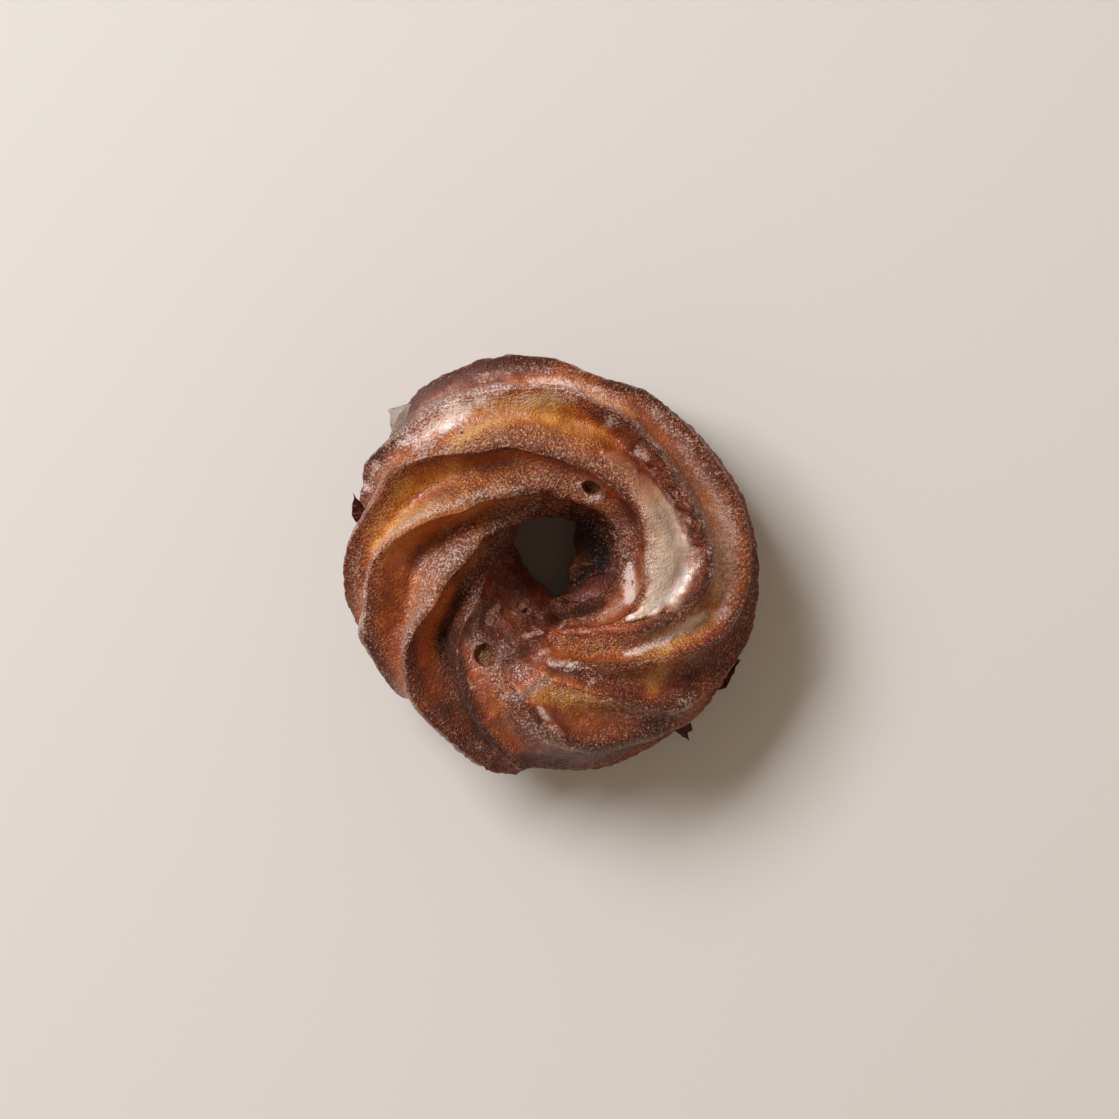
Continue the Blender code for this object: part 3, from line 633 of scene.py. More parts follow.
    (0.4, [(158, 44.4, 1), (166, 44.2, 1)]),
    (0.22, [(165, 43, 1.2), (178, 43, 1.8), (190, 43, 1.6), (200, 42.8, 1)]),
    (-0.12, [(184, 41, 2), (204, 41, 2), (222, 41, 2)]),
    (0.15, [(208, 42.6, 1), (198, 42.8, 1.6), (188, 42.6, 1.8), (178, 42.6, 1.6)]),
    (0.45, [(212, 43.4, 0.8), (220, 43.2, 0.8), (226, 43, 0.5)]),
    (0.3, [(246, 42.4, 1), (254, 43.6, 1), (261, 44.6, 0.8)]),
    (-0.15, [(253, 44, 2), (265, 42.4, 2.5), (280, 42.8, 2.5)]),
    (-0.3, [(266, 42.8, 1.6), (278, 43, 1.8), (290, 43, 1.8)]),
    (0.12, [(302, 41, 3), (312, 39, 3.2), (322, 38.2, 3.4), (332, 40, 4), (342, 42.5, 3)]),
    (-0.15, [(304, 41.2, 1.6), (311, 40.8, 1.6)]),
    (0.35, [(306, 41.5, 1.6), (312, 41, 1.8), (317, 42, 1.2)]),
]
# where a steep side shows the moist dough below the crust; these sides face away from the window, and their
# lighter orange is also painted glow of light through the thin dough
moistAndGlowStrips = [
    (0.4, [(318, 20, 1.2), (306, 18.4, 1.4), (294, 18.2, 1.2), (282, 18, 1)]),
    (0.3, [(92, 25.6, 1.2), (80, 25.4, 1.6), (68, 25.6, 1.2)]),
    (0.25, [(148, 26.5, 1.2), (140, 24.6, 1.4), (130, 23.4, 1.2)]),
    (0.4, [(148, 35, 0.8), (138, 31.4, 1), (126, 27.8, 1), (112, 25.2, 1), (96, 22.6, 0.9)]),
    (0.9, [(180, 35.6, 1.2), (172, 32.4, 1.8), (164, 28.4, 1.9), (156, 24.4, 1.8), (147, 20.8, 1.4),
           (136, 18.3, 1)]),
    (0.8, [(217, 35, 1.2), (209, 31.2, 2), (202, 26.6, 1.8), (194, 22.8, 1.2)]),
    (0.25, [(64, 32.4, 0.8), (52, 31, 1.1), (40, 30.7, 1.2), (28, 30.5, 1.2), (14, 31.3, 1.2),
            (0, 31.8, 1.4), (348, 31, 1.4), (340, 30.4, 1)]),
    (0.12, [(268, 32, 1.4), (275, 34, 2), (285, 35, 2)]),
]
oliveStrips = [
    (0.9, [(268, 11.8, 1), (280, 11.6, 1.1), (295, 11.8, 1.2), (308, 12.6, 1.1), (320, 13.6, 0.9)]),
    (0.3, [(88, 25.6, 1.4), (78, 25.4, 1.8), (68, 25.4, 1.4)]),
    (0.2, [(100, 22, 1.5), (115, 23, 2), (125, 24.5, 2)]),
    (0.3, [(152, 29, 1.6), (145, 26.5, 2), (138, 24.5, 1.6)]),
    (0.2, [(192, 32.6, 1.2), (182, 31.2, 1.3), (174, 28.5, 1.3)]),
    # olive dough in the deep groove beside the lobe, darker there as painted shade
    (0.45, [(200, 22, 1.5), (208, 26, 2), (216, 29.5, 2.6), (224, 31, 3), (232, 33.5, 2.8), (242, 37.5, 2)]),
    (0.12, [(262, 28.5, 1.5), (270, 28, 2.6), (278, 28.8, 2.6), (285, 30.5, 2.2)]),
    (0.3, [(330, 30, 1.4), (322, 28.6, 1.8), (312, 27, 1.4)]),
    (0.25, [(140, 33.5, 1.5), (128, 33, 1.8), (112, 34.5, 1.8), (100, 34.5, 1.4)]),
    (0.25, [(202, 36, 2), (190, 36, 2)]),
    (0.35, [(250, 41, 2), (235, 37, 2)]),
]


# Glaze that ran together beside the fourth ridge.
pool = {
    "line": [(66, 25.8, 0.8), (57, 25.6, 1.8), (49, 25.2, 2.3), (43, 25, 2.7), (36, 24.9, 3.1),
             (28, 24.9, 3.5), (20, 24.9, 3.9), (10, 25, 4.5), (0, 24.8, 5.3), (350, 24.5, 4.8), (344, 24, 4),
             (338, 23, 2.4), (331, 21.4, 1.1), (324, 19.6, 0.6)],
    "thick": 0.15,
    "fill": 0.35,  # share of the groove's depth
}


def planSpot(x, y, spot):
    # 1 on the edge of an oval round this place
    turn = math.radians(spot["turn"])
    dx, dy = x - spot["reach"] * math.cos(turn), y - spot["reach"] * math.sin(turn)
    across = dx * math.cos(turn) + dy * math.sin(turn)
    along = dy * math.cos(turn) - dx * math.sin(turn)
    return np.hypot(along / spot["along"], across / spot["across"])


def planLine(x, y, line):
    # the nearest place on a line: how far off it is, how far along, and on which side: left 1, right -1
    places = [(place[1] * math.cos(math.radians(place[0])), place[1] * math.sin(math.radians(place[0])))
              for place in line]
    nearest, along, side = np.full(x.shape, 1e9), np.zeros(x.shape), np.ones(x.shape)
    for i, ((ax, ay), (bx, by)) in enumerate(zip(places, places[1:] or places)):
        dx, dy = bx - ax, by - ay
        t = np.clip(((x - ax) * dx + (y - ay) * dy) / max(dx * dx + dy * dy, 1e-6), 0, 1)
        gap = np.hypot(x - ax - t * dx, y - ay - t * dy)
        closer = gap < nearest
        nearest = np.where(closer, gap, nearest)
        along = np.where(closer, i + t, along)
        side = np.where(closer, np.sign(dx * (y - ay) - dy * (x - ax)), side)
    return nearest, along, side


def stripMask(x, y, ragged, line):
    gap, along, _ = planLine(x, y, line)
    widths = [place[2] for place in line]
    half = np.interp(along, range(len(widths)), widths)
    return 1 - smooth(0.2, 1.55, gap / half + ragged * np.minimum(1, 1.2 / half))


def painted(x, y, ragged, strips):
    # a strip's places are laid out at the rim's height, and shrink a little to lie on the ridges
    x, y = x * 1.012, y * 1.012
    total = np.zeros(x.shape)
    for amount, line in strips:
        total += amount * stripMask(x, y, ragged, line)
    return total


def readLayer(mesh, name):
    values = np.empty(len(mesh.vertices), np.float32)
    mesh.attributes[name].data.foreach_get("value", values)
    return values.astype(float)


def writeLayer(mesh, name, values):
    layer = mesh.attributes.get(name) or mesh.attributes.new(name, "FLOAT", "POINT")
    layer.data.foreach_set("value", np.ascontiguousarray(values, np.float32))


def meshPlaces(mesh):
    values = np.empty(len(mesh.vertices) * 3, np.float32)
    mesh.vertices.foreach_get("co", values)
    return values.reshape(-1, 3).astype(float) / mm


def meshNormals(mesh):
    values = np.empty(len(mesh.vertices) * 3, np.float32)
    mesh.vertex_normals.foreach_get("vector", values)
    return values.reshape(-1, 3).astype(float)


def refineNear(mesh, shift):
    # finer faces round each pit, so that its rim stays crisp
    fine = bmesh.new()
    fine.from_mesh(mesh)
    bmesh.ops.recalc_face_normals(fine, faces=fine.faces)
    for spread in (1.5, 1.3):
        chosen = set()
        for face in fine.faces:
            centre = face.calc_center_median() / mm
            if face.normal.z < 0.05 or centre.z < 3:
                continue
            x, y = centre.x - shift[0], centre.y - shift[1]
            if any(planSpot(x, y, pit) < spread + 0.3 / pit["across"] for pit in pits):
                chosen.update(face.edges)
        bmesh.ops.subdivide_edges(fine, edges=list(chosen), cuts=1, use_grid_fill=True)
    fine.to_mesh(mesh)
    fine.free()


def foldLift(x, y, wobble):
    lift = np.zeros(x.shape)
    for fold in folds:
        gap, along, side = planLine(x, y, fold["line"])
        share = along / (len(fold["line"]) - 1)
        half = np.where(side > 0, fold["left"], fold["right"]) * (1 + 0.25 * wobble)
        lift += fold["height"] * bump(gap, half) * smooth(0, 0.25, share) * smooth(1, 0.75, share)
    return lift


def addDetail(mesh, shift):
    places, normals = meshPlaces(mesh), meshNormals(mesh)
    x, y, height = places[:, 0] - shift[0], places[:, 1] - shift[1], places[:, 2]
    turn, tube = readLayer(mesh, "turn"), readLayer(mesh, "tube")
    seen = smooth(-0.15, 0.2, normals[:, 2]) * smooth(1, 4, height)
    wobble = fractal(places, 3.0, 3, 4)
    # cross knuckles where the fourth ridge was twisted
    fromFourth = np.abs(around(tube, ridgePath(ridges["fourth"])(turn)))
    knuckles = bump(fromFourth, 20) * bump(around(turn, 26), 48)
    lift = 0.8 * knuckles * np.sin(np.radians(turn * 32) + 3 * wobble)
    lift = (lift + foldLift(x, y, wobble)) * seen
    # glaze that ran together is smooth and evens out the groove
    flooded = smooth(0.05, 0.6, stripMask(x, y, 0.35 * wobble, pool["line"]) * seen)
    lift = lift * (1 - flooded) + pool["thick"] * flooded
    places += normals * lift[:, None]
    places[:, 2] += pool["fill"] * readLayer(mesh, "sunk") * flooded
    dark, rim = np.zeros(len(places)), np.zeros(len(places))
    for pit in pits:
        d = planSpot(x, y, pit) + 0.1 * wobble
        inside = (1 - smooth(0.8, 1.1, d)) * seen
        places -= normals * (pit["depth"] * inside)[:, None]
        dark = np.maximum(dark, inside)
        rim = np.maximum(rim, bump(d - 1.3, 0.45) * seen)
    ragged = 0.45 * wobble
    below = 0.3 * smooth(14, 6, height) * (1 - seen)  # the underside is evenly browned
    writeLayer(mesh, "browned", painted(x, y, ragged, brownAndShadeStrips) * seen + below)
    writeLayer(mesh, "milkyAndHighlight", (painted(x, y, 1.5 * ragged, glazeAndHighlightStrips) + 0.12 * rim) * seen)
    writeLayer(mesh, "olive", painted(x, y, ragged, oliveStrips) * seen)
    writeLayer(mesh, "moistAndGlow", painted(x, y, ragged, moistAndGlowStrips) * seen)
    writeLayer(mesh, "pit", dark)
    writeLayer(mesh, "pool", stripMask(x, y, 0.8 * wobble, pool["line"]) * seen)
    writeLayer(mesh, "creamy", bump(around(turn, 352), 56) ** 0.6)
    mesh.vertices.foreach_set("co", (places * mm).astype(np.float32).ravel())
    mesh.update()


def rgb(red, green, blue):
    # a colour as seen on a screen, from 0 to 255, in the shader's linear values
    return (*[((v / 255 + 0.055) / 1.055) ** 2.4 for v in (red, green, blue)], 1)


def feed(tree, node, values):
    # link an input to another node's output, or set its own number or colour
    for key, value in values.items():
        if isinstance(value, bpy.types.NodeSocket):
            tree.links.new(value, node.inputs[key])
        else:
            node.inputs[key].default_value = value


def newNode(tree, kind, inputs=None, **settings):
    node = tree.nodes.new(kind)
    for key, value in settings.items():
        setattr(node, key, value)
    feed(tree, node, inputs or {})
    return node


def maths(tree, operation, a, b, clamp=False):
    return newNode(tree, "ShaderNodeMath", {0: a, 1: b}, operation=operation, use_clamp=clamp).outputs[0]


def plus(tree, total, *parts):
    for part in parts:
        total = maths(tree, "ADD", total, part)
    return total


def times(tree, product, *parts):
    for part in parts:
        product = maths(tree, "MULTIPLY", product, part)
    return product


def mapped(tree, value, fromLow, fromHigh, toLow=0.0, toHigh=1.0):
    return newNode(tree, "ShaderNodeMapRange", {"Value": value, "From Min": fromLow, "From Max": fromHigh,
                                                "To Min": toLow, "To Max": toHigh}).outputs[0]


def blended(tree, factor, a, b):
    return newNode(tree, "ShaderNodeMix", {0: factor, 6: a, 7: b}, data_type="RGBA").outputs[2]


def noiseAt(tree, place, size, detail=3.0, rough=0.6):
    # noise around 0, whose lumps have this size in millimetres
    inputs = {"Vector": place, "Scale": 1 / (size * mm), "Detail": detail, "Roughness": rough}
    return plus(tree, newNode(tree, "ShaderNodeTexNoise", inputs).outputs[0], -0.5)


def bumped(tree, height, strength, distance):
    inputs = {"Strength": strength, "Distance": distance, "Height": height}
    return newNode(tree, "ShaderNodeBump", inputs).outputs[0]


def newGroup(name, inputs, outputs):
    group = bpy.data.node_groups.new(name, "ShaderNodeTree")
    for label, kind, value in inputs:
        socket = group.interface.new_socket(name=label, in_out="INPUT", socket_type=kind)
        if value is not None:
            socket.default_value = value
    for label, kind in outputs:
        group.interface.new_socket(name=label, in_out="OUTPUT", socket_type=kind)
    return group, group.nodes.new("NodeGroupInput").outputs, group.nodes.new("NodeGroupOutput")


# how brown, from 0 to 1, and the crust's colour there; the dry ramp's nearly black end is painted shade
crustColours = {
    "dry": [(0.0, rgb(232, 180, 104)), (0.18, rgb(206, 134, 54)), (0.36, rgb(170, 84, 31)),
            (0.52, rgb(133, 55, 25)), (0.68, rgb(104, 42, 25)), (0.84, rgb(80, 33, 22)),
            (1.0, rgb(34, 18, 17))],
    "wet": [(0.0, rgb(218, 178, 96)), (0.2, rgb(180, 130, 58)), (0.4, rgb(134, 80, 29)),
            (0.6, rgb(96, 54, 19)), (0.8, rgb(62, 36, 14)), (1.0, rgb(38, 23, 12))],
}


def crustGroup():
    # fried crust: from pale gold through orange and red-brown to nearly black, which is painted shade, or
    # olive where it stayed wet
    inputs = [("Browned", "NodeSocketFloat", 0.5), ("Olive", "NodeSocketFloat", 0.0)]
    group, given, made = newGroup("friedCrust", inputs, [("Color", "NodeSocketColor")])
    colours = []
    for stops in crustColours.values():
        ramp = newNode(group, "ShaderNodeValToRGB", {"Fac": given["Browned"]})
        while len(ramp.color_ramp.elements) < len(stops):
            ramp.color_ramp.elements.new(0.5)
        for element, (at, colour) in zip(ramp.color_ramp.elements, stops):
            element.position = at
            element.color = colour
        colours.append(ramp.outputs[0])
    feed(group, made, {"Color": blended(group, given["Olive"], *colours)})
    return group


filmLook = {
    "haze": rgb(204, 160, 140),
    "mostHaze": 0.5,
    "grains": rgb(206, 148, 104),  # where the film is thin
    # the palest grains, partly painted glints
    "whiteGrainsAndGlints": rgb(236, 214, 208),
    "mostGrains": 0.72,
    "roughness": (0.28, 0.18),  # bare and covered
}


def filmGroup():
    look = filmLook
    group, given, made = newGroup(
        "glazeFilm",
        [("Color", "NodeSocketColor", (0.3, 0.1, 0.03, 1)), ("Milky", "NodeSocketFloat", 0.3),
         ("Place", "NodeSocketVector", None), ("Grain", "NodeSocketFloat", 1.0)],
        [("Color", "NodeSocketColor"), ("Roughness", "NodeSocketFloat"), ("Height", "NodeSocketFloat")])
    milkyAndHighlight = given["Milky"]
    fine = noiseAt(group, given["Place"], 0.58, 2.0)
    middle = noiseAt(group, given["Place"], 2.0, 3.0, 0.65)
    # a mauve haze over everything it touched, and pale grains on top of that, which also stand in for the
    # glaze's glints: painted glints
    haze = mapped(group, plus(group, milkyAndHighlight, times(group, middle, 0.5)), 0.08, 1.05, 0.0, look["mostHaze"])
    colour = blended(group, haze, given["Color"], look["haze"])
    grains = plus(group, milkyAndHighlight, times(group, fine, given["Grain"]), times(group, middle, 0.4))
    cover = mapped(group, grains, 0.24, 0.86, 0.0, look["mostGrains"])
    sugarAndGlints = blended(group, mapped(group, milkyAndHighlight, 0.05, 0.65), look["grains"], look["whiteGrainsAndGlints"])
    feed(group, made, {"Color": blended(group, cover, colour, sugarAndGlints), "Height": fine,
                       "Roughness": mapped(group, cover, 0.0, 1.0, *look["roughness"])})
    return group


friedCrust = crustGroup()
glazeFilm = filmGroup()


def readAttributes(tree, *names):
    return [newNode(tree, "ShaderNodeAttribute", attribute_name=name).outputs["Fac"] for name in names]


def startMaterial(name):
    material = bpy.data.materials.new(name)
    material.use_nodes = True
    tree = material.node_tree
    place = newNode(tree, "ShaderNodeTexCoord").outputs["Object"]
    return material, tree, tree.nodes["Principled BSDF"], place


doughLook = {
    "base": 0.466,  # how brown the crust is before the rest is added to it
    "wide": 0.36,  # how much the wide, middle and small patches brown it
    "middle": 0.4,
    "small": 1.25,
    "wallReach": 1.7,  # how far down a ridge's steep side the crust is dark, in millimetres
    "wallDark": 0.16,
    "edgeReach": 1.5,  # and how far down its outer side
    "edgeDark": 0.3,
    "hollowPale": 0.12,
    "darkest": 0.82,
    "bareReach": 4.5,  # the film doesn't hold on the steep side either
    "bare": 0.3,
    "film": 0.06,
    "flankFilm": 0.16,
    "flankReach": 6.0,
    "grain": 6.4,
    # the lighter orange of the steep sides: moist dough, and painted glow
    "moistAndGlowDough": rgb(204, 92, 34),
    "pit": rgb(116, 72, 26),
    "thinPool": rgb(184, 140, 108),
    "deepPool": rgb(218, 196, 176),
    "poolGrains": rgb(238, 222, 212),
    # the pool's white streaks: painted highlight
    "poolHighlight": rgb(238, 228, 224),
    "gloss": {"Specular IOR Level": 0.3, "Coat Roughness": 0.14, "Coat IOR": 1.6},
}


def doughMaterial():
    look = doughLook
    material, tree, shader, place = startMaterial("friedDough")
    under, over, hollow, browned, milkyAndHighlight = readAttributes(tree, "under", "over", "hollow", "browned", "milkyAndHighlight")
    olive, pit, flooded, creamy, moistAndGlow = readAttributes(tree, "olive", "pit", "pool", "creamy", "moistAndGlow")
    wide = noiseAt(tree, place, 8.0)
    middle = noiseAt(tree, place, 2.4)
    small = noiseAt(tree, place, 0.5, 2.0)
    # the crust is crisp and grainy on the ridges, and smoother in the wet grooves
    crisp = [mapped(tree, under, 1.2, 3.2, 1.0, 0.3), mapped(tree, over, 2.5, 8.0, 1.0, 0.3)]
    crisp = times(tree, maths(tree, "MAXIMUM", *crisp), mapped(tree, milkyAndHighlight, 0.4, 0.9, 1.0, 0.4))
    ragged = plus(tree, times(tree, middle, 2.6), times(tree, small, 2.4))
    wall = mapped(tree, plus(tree, under, ragged), 0.0, look["wallReach"], look["wallDark"], 0.0)
    edge = plus(tree, over, times(tree, ragged, 0.7))
    edge = mapped(tree, edge, 0.0, look["edgeReach"], look["edgeDark"], 0.0)
    value = plus(tree, browned, look["base"], wall, edge, times(tree, hollow, -look["hollowPale"]),
                 times(tree, wide, look["wide"]), times(tree, middle, look["middle"]),
                 times(tree, small, crisp, look["small"]))
    # painted shade: only where the strips brown most, as on the hole's shaded wall, does the crust go darker
    # than its darkest ordinary brown
    value = maths(tree, "MINIMUM", value, mapped(tree, browned, 0.6, 1.0, look["darkest"], 1.0))
    crust = newNode(tree, "ShaderNodeGroup", {"Browned": value, "Olive": olive}, node_tree=friedCrust)
    # the film is thickest a little way off the crest, on its outer side
    flank = mapped(tree, over, 1.2, look["flankReach"], look["flankFilm"], 0.0)
    flank = times(tree, flank, mapped(tree, over, 0.6, 2.2))
    bare = mapped(tree, under, 0.0, look["bareReach"], -look["bare"], 0.0)
    glaze = plus(tree, milkyAndHighlight, flank, times(tree, wide, 0.4), look["film"], bare)
    film = newNode(tree, "ShaderNodeGroup", {"Color": crust.outputs["Color"], "Milky": glaze, "Place": place,
                                             "Grain": times(tree, crisp, look["grain"])}, node_tree=glazeFilm)
    # where the glaze ran together it hides the crust: cream where it is deep, tan where it thins out
    deep = times(tree, creamy, mapped(tree, flooded, 0.3, 0.9, 0.45, 1.0))
    deep = plus(tree, deep, times(tree, middle, 0.7))
    paint = blended(tree, deep, look["thinPool"], look["deepPool"])
    paint = blended(tree, mapped(tree, small, 0.0, 0.22, 0.0, 0.55), paint, look["poolGrains"])
    # painted highlight: white streaks on the pool where the strips make it milky
    paint = blended(tree, mapped(tree, milkyAndHighlight, 0.15, 0.7, 0.0, 0.9), paint, look["poolHighlight"])
    cover = mapped(tree, plus(tree, flooded, times(tree, small, 0.4), middle), 0.12, 1.0, 0.0, 0.95)
    cover = times(tree, cover, mapped(tree, creamy, 0.0, 0.55, 0.2, 1.0))
    # the steep sides turn a lighter orange: moist dough and painted glow
    inside = mapped(tree, plus(tree, moistAndGlow, times(tree, middle, 0.8)), 0.1, 1.0, 0.0, 0.75)
    colour = film.outputs["Color"]
    for amount, layer in ((inside, look["moistAndGlowDough"]), (cover, paint), (pit, look["pit"])):
        colour = blended(tree, amount, colour, layer)
    # the glossy film glints on the grains, and hardly covers the steep sides
    calm = times(tree, crisp, mapped(tree, flooded, 0.2, 0.8, 1.0, 0.22))
    relief = plus(tree, times(tree, small, 1.25), film.outputs["Height"], times(tree, middle, 0.8))
    glints = noiseAt(tree, place, 0.6, 1.0, 0.5)
    coat = times(tree, mapped(tree, under, 0.5, look["bareReach"], 0.15, 0.75),
                 mapped(tree, olive, 0.0, 0.7, 1.0, 0.3), mapped(tree, over, 0.0, 1.2, 0.3, 1.0),
                 mapped(tree, noiseAt(tree, place, 1.7, 2.0), -0.16, 0.1, 0.15, 1.0),
                 mapped(tree, browned, 0.1, 0.5, 1.0, 0.5))
    feed(tree, shader, {"Base Color": colour, "Roughness": film.outputs["Roughness"], "Coat Weight": coat,
                        "Normal": bumped(tree, times(tree, relief, calm), 1.0, 0.001),
                        "Coat Normal": bumped(tree, times(tree, glints, calm), 1.0, 0.001), **look["gloss"]})
    return material


finLook = {
    "thin": rgb(186, 170, 156),
    "thick": rgb(214, 200, 184),
    "grains": rgb(236, 224, 214),
    "gloss": {"Roughness": 0.3, "Coat Weight": 0.7, "Coat Roughness": 0.1, "Coat IOR": 1.45},
}


def finMaterial():
    look = finLook
    material, tree, shader, place = startMaterial("finGlaze")
    thick, = readAttributes(tree, "thick")
    small = noiseAt(tree, place, 0.5, 3.0, 0.7)
    middle = noiseAt(tree, place, 2.2)
    amount = plus(tree, thick, times(tree, middle, 0.5))
    amount = maths(tree, "ADD", amount, times(tree, small, 0.6), clamp=True)
    colour = blended(tree, amount, look["thin"], look["thick"])
    colour = blended(tree, mapped(tree, small, 0.08, 0.3, 0.0, 0.5), colour, look["grains"])
    normal = bumped(tree, small, 0.5, 0.0003)
    feed(tree, shader, {"Base Color": colour, "Alpha": mapped(tree, amount, 0.1, 1.0, 0.35, 0.85),
                        "Normal": normal, "Coat Normal": normal, **look["gloss"]})
    return material


flakeLook = {"browned": 0.74, "gloss": {"Roughness": 0.4, "Coat Weight": 0.4, "Coat Roughness": 0.2}}


def flakeMaterial():
    material, tree, shader, place = startMaterial("crustFlake")
    small = noiseAt(tree, place, 0.5, 3.0, 0.7)
    browned = plus(tree, small, flakeLook["browned"])
    crust = newNode(tree, "ShaderNodeGroup", {"Browned": browned}, node_tree=friedCrust)
    normal = bumped(tree, small, 0.8, 0.0004)
    feed(tree, shader, {"Base Color": crust.outputs["Color"], "Normal": normal, "Coat Normal": normal,
                        **flakeLook["gloss"]})
    return material


def place3(turn, reach, height):
    angle = math.radians(turn)
    return np.array([reach * math.cos(angle) + shift[0], reach * math.sin(angle) + shift[1], height])


def addPiece(name, mesh, material):
    mesh.materials.append(material)
    piece = bpy.data.objects.new(name, mesh)
    bpy.context.scene.collection.objects.link(piece)
    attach(piece, "root")
    return piece


# Thin bits on the rim: their outline as (turn, reach), the height of their middle, and how far they tip up.
flakes = [
    {"name": "crustFlakeLeft", "height": 17.0, "thick": 0.6, "tip": 1.5,
     "outline": [(160.2, 45.6), (161.8, 44.9), (164.2, 44.8), (166.5, 44.2), (168.5, 42.9), (167.5, 41.8),
                 (163.6, 41.6), (161.8, 44.0)]},
    {"name": "crustFlakeLow", "height": 9.0, "thick": 0.6, "tip": -0.6,
     "outline": [(305.8, 43.0), (306.4, 45.6), (307.6, 48.3), (308.8, 46.6), (310.2, 47.0), (311.2, 45.2),
                 (310.4, 43.0)]},
    {"name": "crustFlakeRight", "height": 11.0, "thick": 0.6, "tip": 0.4,
     "outline": [(313.6, 42.0), (315.4, 44.4), (317.2, 44.2), (318.6, 45.4), (320.4, 43.6), (319.0, 41.6)]},
    {"name": "crustFlakeFar", "height": 12.0, "thick": 0.7, "tip": 0.5,
     "outline": [(321.2, 41.6), (322.6, 44.8), (324.6, 46.0), (328.4, 45.6), (333.0, 45.2), (331.0, 42.0)]},
    {"name": "crustFlakeSmall", "height": 15.0, "thick": 0.5, "tip": 0.2,
     "outline": [(198.0, 43.0), (198.4, 44.2), (201.2, 44.4), (202.6, 43.4), (200.5, 42.4)]},
    {"name": "glazeFinTop", "height": 17.0, "thick": 0.35, "tip": 1.2, "glaze": True,
     "outline": [(131.5, 46.0), (133.4, 46.8), (136.6, 48.4), (138.2, 46.8), (141.4, 44.4), (136.0, 44.0)]},
]


def addFlake(settings, material):
    corners = [place3(turn, reach, settings["height"]) for turn, reach in settings["outline"]]
    middle = np.mean(corners, 0)
    reaches = [reach for turn, reach in settings["outline"]]
    low, high = min(reaches), max(reaches)
    for corner, reach in zip(corners, reaches):
        corner[2] += settings["tip"] * (reach - low) / (high - low)
    thin = bmesh.new()
    thin.faces.new([thin.verts.new(corner * mm) for corner in corners])
    # the face has no normal yet, so this doubles the sheet but gives it no thickness
    bmesh.ops.solidify(thin, geom=thin.faces[:], thickness=settings["thick"] * mm)
    bmesh.ops.subdivide_edges(thin, edges=thin.edges[:], cuts=3, use_grid_fill=True)
    bmesh.ops.triangulate(thin, faces=thin.faces[:])
    bmesh.ops.subdivide_edges(thin, edges=thin.edges[:], cuts=1)
    for vert in thin.verts:
        # three plain readings, because noise.noise_vector changes from run to run
        spot = vert.co / mm / 1.3
        vert.co += Vector([noise.noise(spot + Vector((0, 0, 7.3 * k))) for k in range(3)]) * 0.28 * mm
    mesh = bpy.data.meshes.new(settings["name"])
    bmesh.ops.recalc_face_normals(thin, faces=thin.faces[:])
    thin.to_mesh(mesh)
    thin.free()
    thickness = np.array([np.linalg.norm(np.array(vert.co) / mm - middle) for vert in mesh.vertices])
    writeLayer(mesh, "thick", np.clip(thickness / 3, 0, 1))
    mesh.shade_smooth()
    addPiece(settings["name"], mesh, material)


print("dough ring: shaping")
place, masks = buildRing()
own = place.reshape(-1, 3)
place = fitToFrame(place)
shift = place.reshape(-1, 3)[0] - own[0]
ringMesh = gridMesh("crullerDough", place, masks)
refineNear(ringMesh, shift)
print("dough ring: folds, pits and glaze,", len(ringMesh.vertices), "points")
addDetail(ringMesh, shift)
ringMesh.shade_smooth()
doughRing = addPiece("crullerDough", ringMesh, doughMaterial())
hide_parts("dough_ring")
print("dough ring:", sum(len(face.vertices) - 2 for face in ringMesh.polygons), "triangles")

crustLook, glazeLook = flakeMaterial(), finMaterial()
for settings in flakes:
    addFlake(settings, glazeLook if settings.get("glaze") else crustLook)
print("rim:", len(flakes), "flakes and fins")


view = {
    "height": 1.0,
    "lens": 100.0,
    "sensor": 24.0,
    "offset": (1.40, 0.97),  # from the hole's middle, in millimetres
}

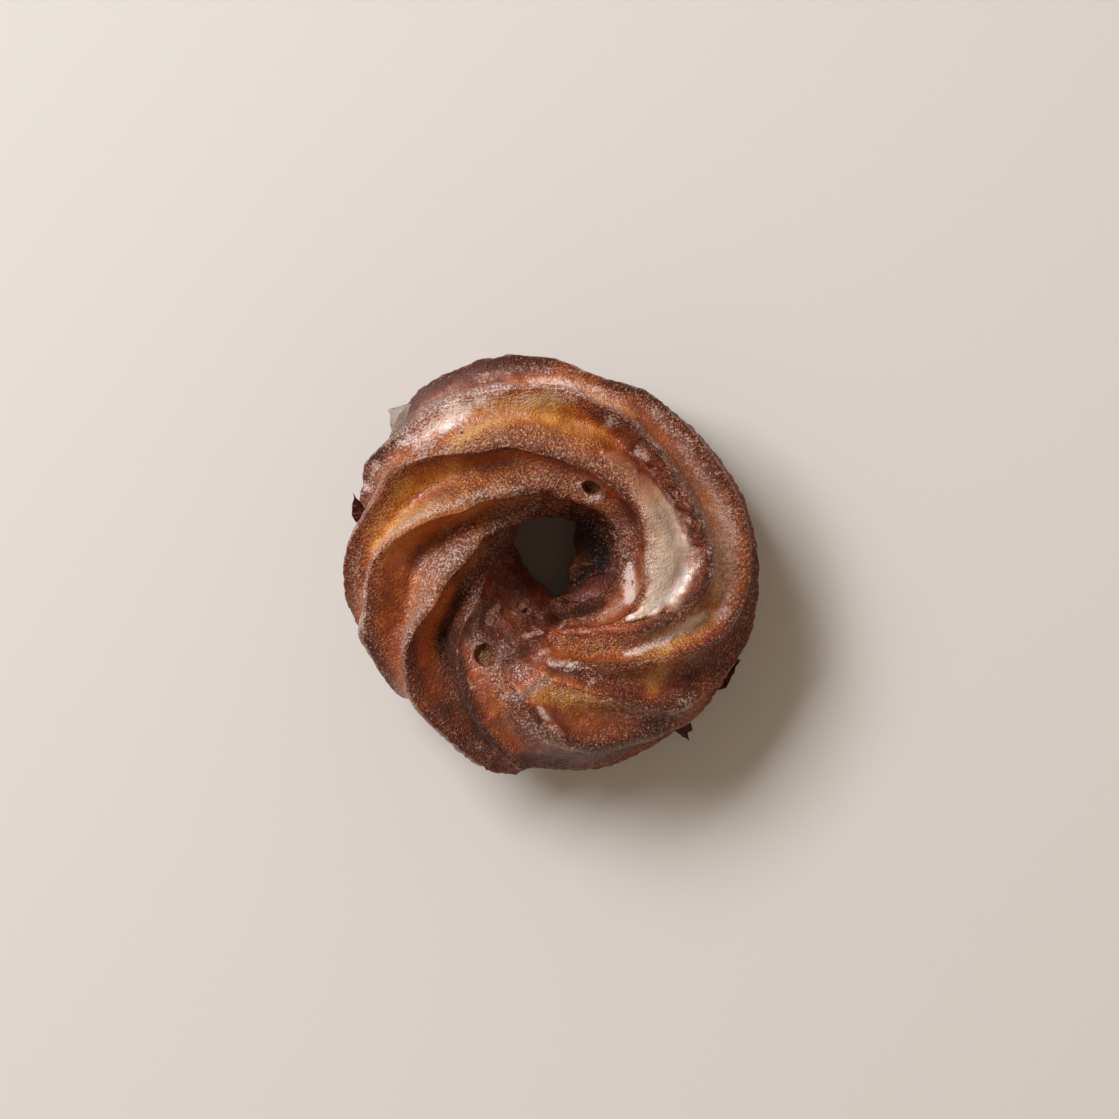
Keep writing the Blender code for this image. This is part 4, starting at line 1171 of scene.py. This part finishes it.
studio = {
    "floorColour": (0.70, 0.675, 0.65),
    "window": {"place": (-1.075, 0.86, 1.25), "size": (1.15, 0.72), "power": 39.2,
               "colour": (0.97, 0.985, 1.0)},
    # the room: warm walls, and hardly any light from straight above
    "wall": 1.02,
    "ceiling": 0.05,
    "roomColour": (1.0, 0.82, 0.6),
}


def addFloor():
    bpy.ops.mesh.primitive_plane_add(size=3.0, location=(0, 0, boxLow[2] - 0.0002))
    floor = bpy.context.object
    floor.name = "paleTable"
    material = bpy.data.materials.new("paleTable")
    material.use_nodes = True
    shader = material.node_tree.nodes["Principled BSDF"]
    shader.inputs["Base Color"].default_value = (*studio["floorColour"], 1)
    shader.inputs["Roughness"].default_value = 0.6
    floor.data.materials.append(material)


def addWindow(name, settings):
    data = bpy.data.lights.new(name, "AREA")
    data.shape = "RECTANGLE"
    data.size, data.size_y = settings["size"]
    data.energy = settings["power"]
    data.color = settings["colour"]
    lamp = bpy.data.objects.new(name, data)
    lamp.location = settings["place"]
    lamp.rotation_euler = (-Vector(settings["place"])).to_track_quat("-Z", "Y").to_euler()
    bpy.context.scene.collection.objects.link(lamp)


def addWorld():
    world = bpy.data.worlds.new("room")
    world.use_nodes = True
    tree = world.node_tree
    direction = newNode(tree, "ShaderNodeTexCoord").outputs["Generated"]
    upwards = newNode(tree, "ShaderNodeSeparateXYZ", {0: direction}).outputs["Z"]
    light = mapped(tree, upwards, 0.0, 0.95, studio["wall"], studio["ceiling"])
    tree.links.new(light, tree.nodes["Background"].inputs["Strength"])
    tree.nodes["Background"].inputs["Color"].default_value = (*studio["roomColour"], 1)
    bpy.context.scene.world = world


def addCamera():
    data = bpy.data.cameras.new("above")
    data.lens = view["lens"]
    data.sensor_width = view["sensor"]
    camera = bpy.data.objects.new("above", data)
    x, y = (shift[:2] + view["offset"]) * mm
    camera.location = (x, y, view["height"] + boxHigh[2] / 2)
    bpy.context.scene.collection.objects.link(camera)
    bpy.context.scene.camera = camera


addFloor()
addWindow("window", studio["window"])
addWorld()
addCamera()
bpy.context.scene.view_settings.view_transform = "Standard"
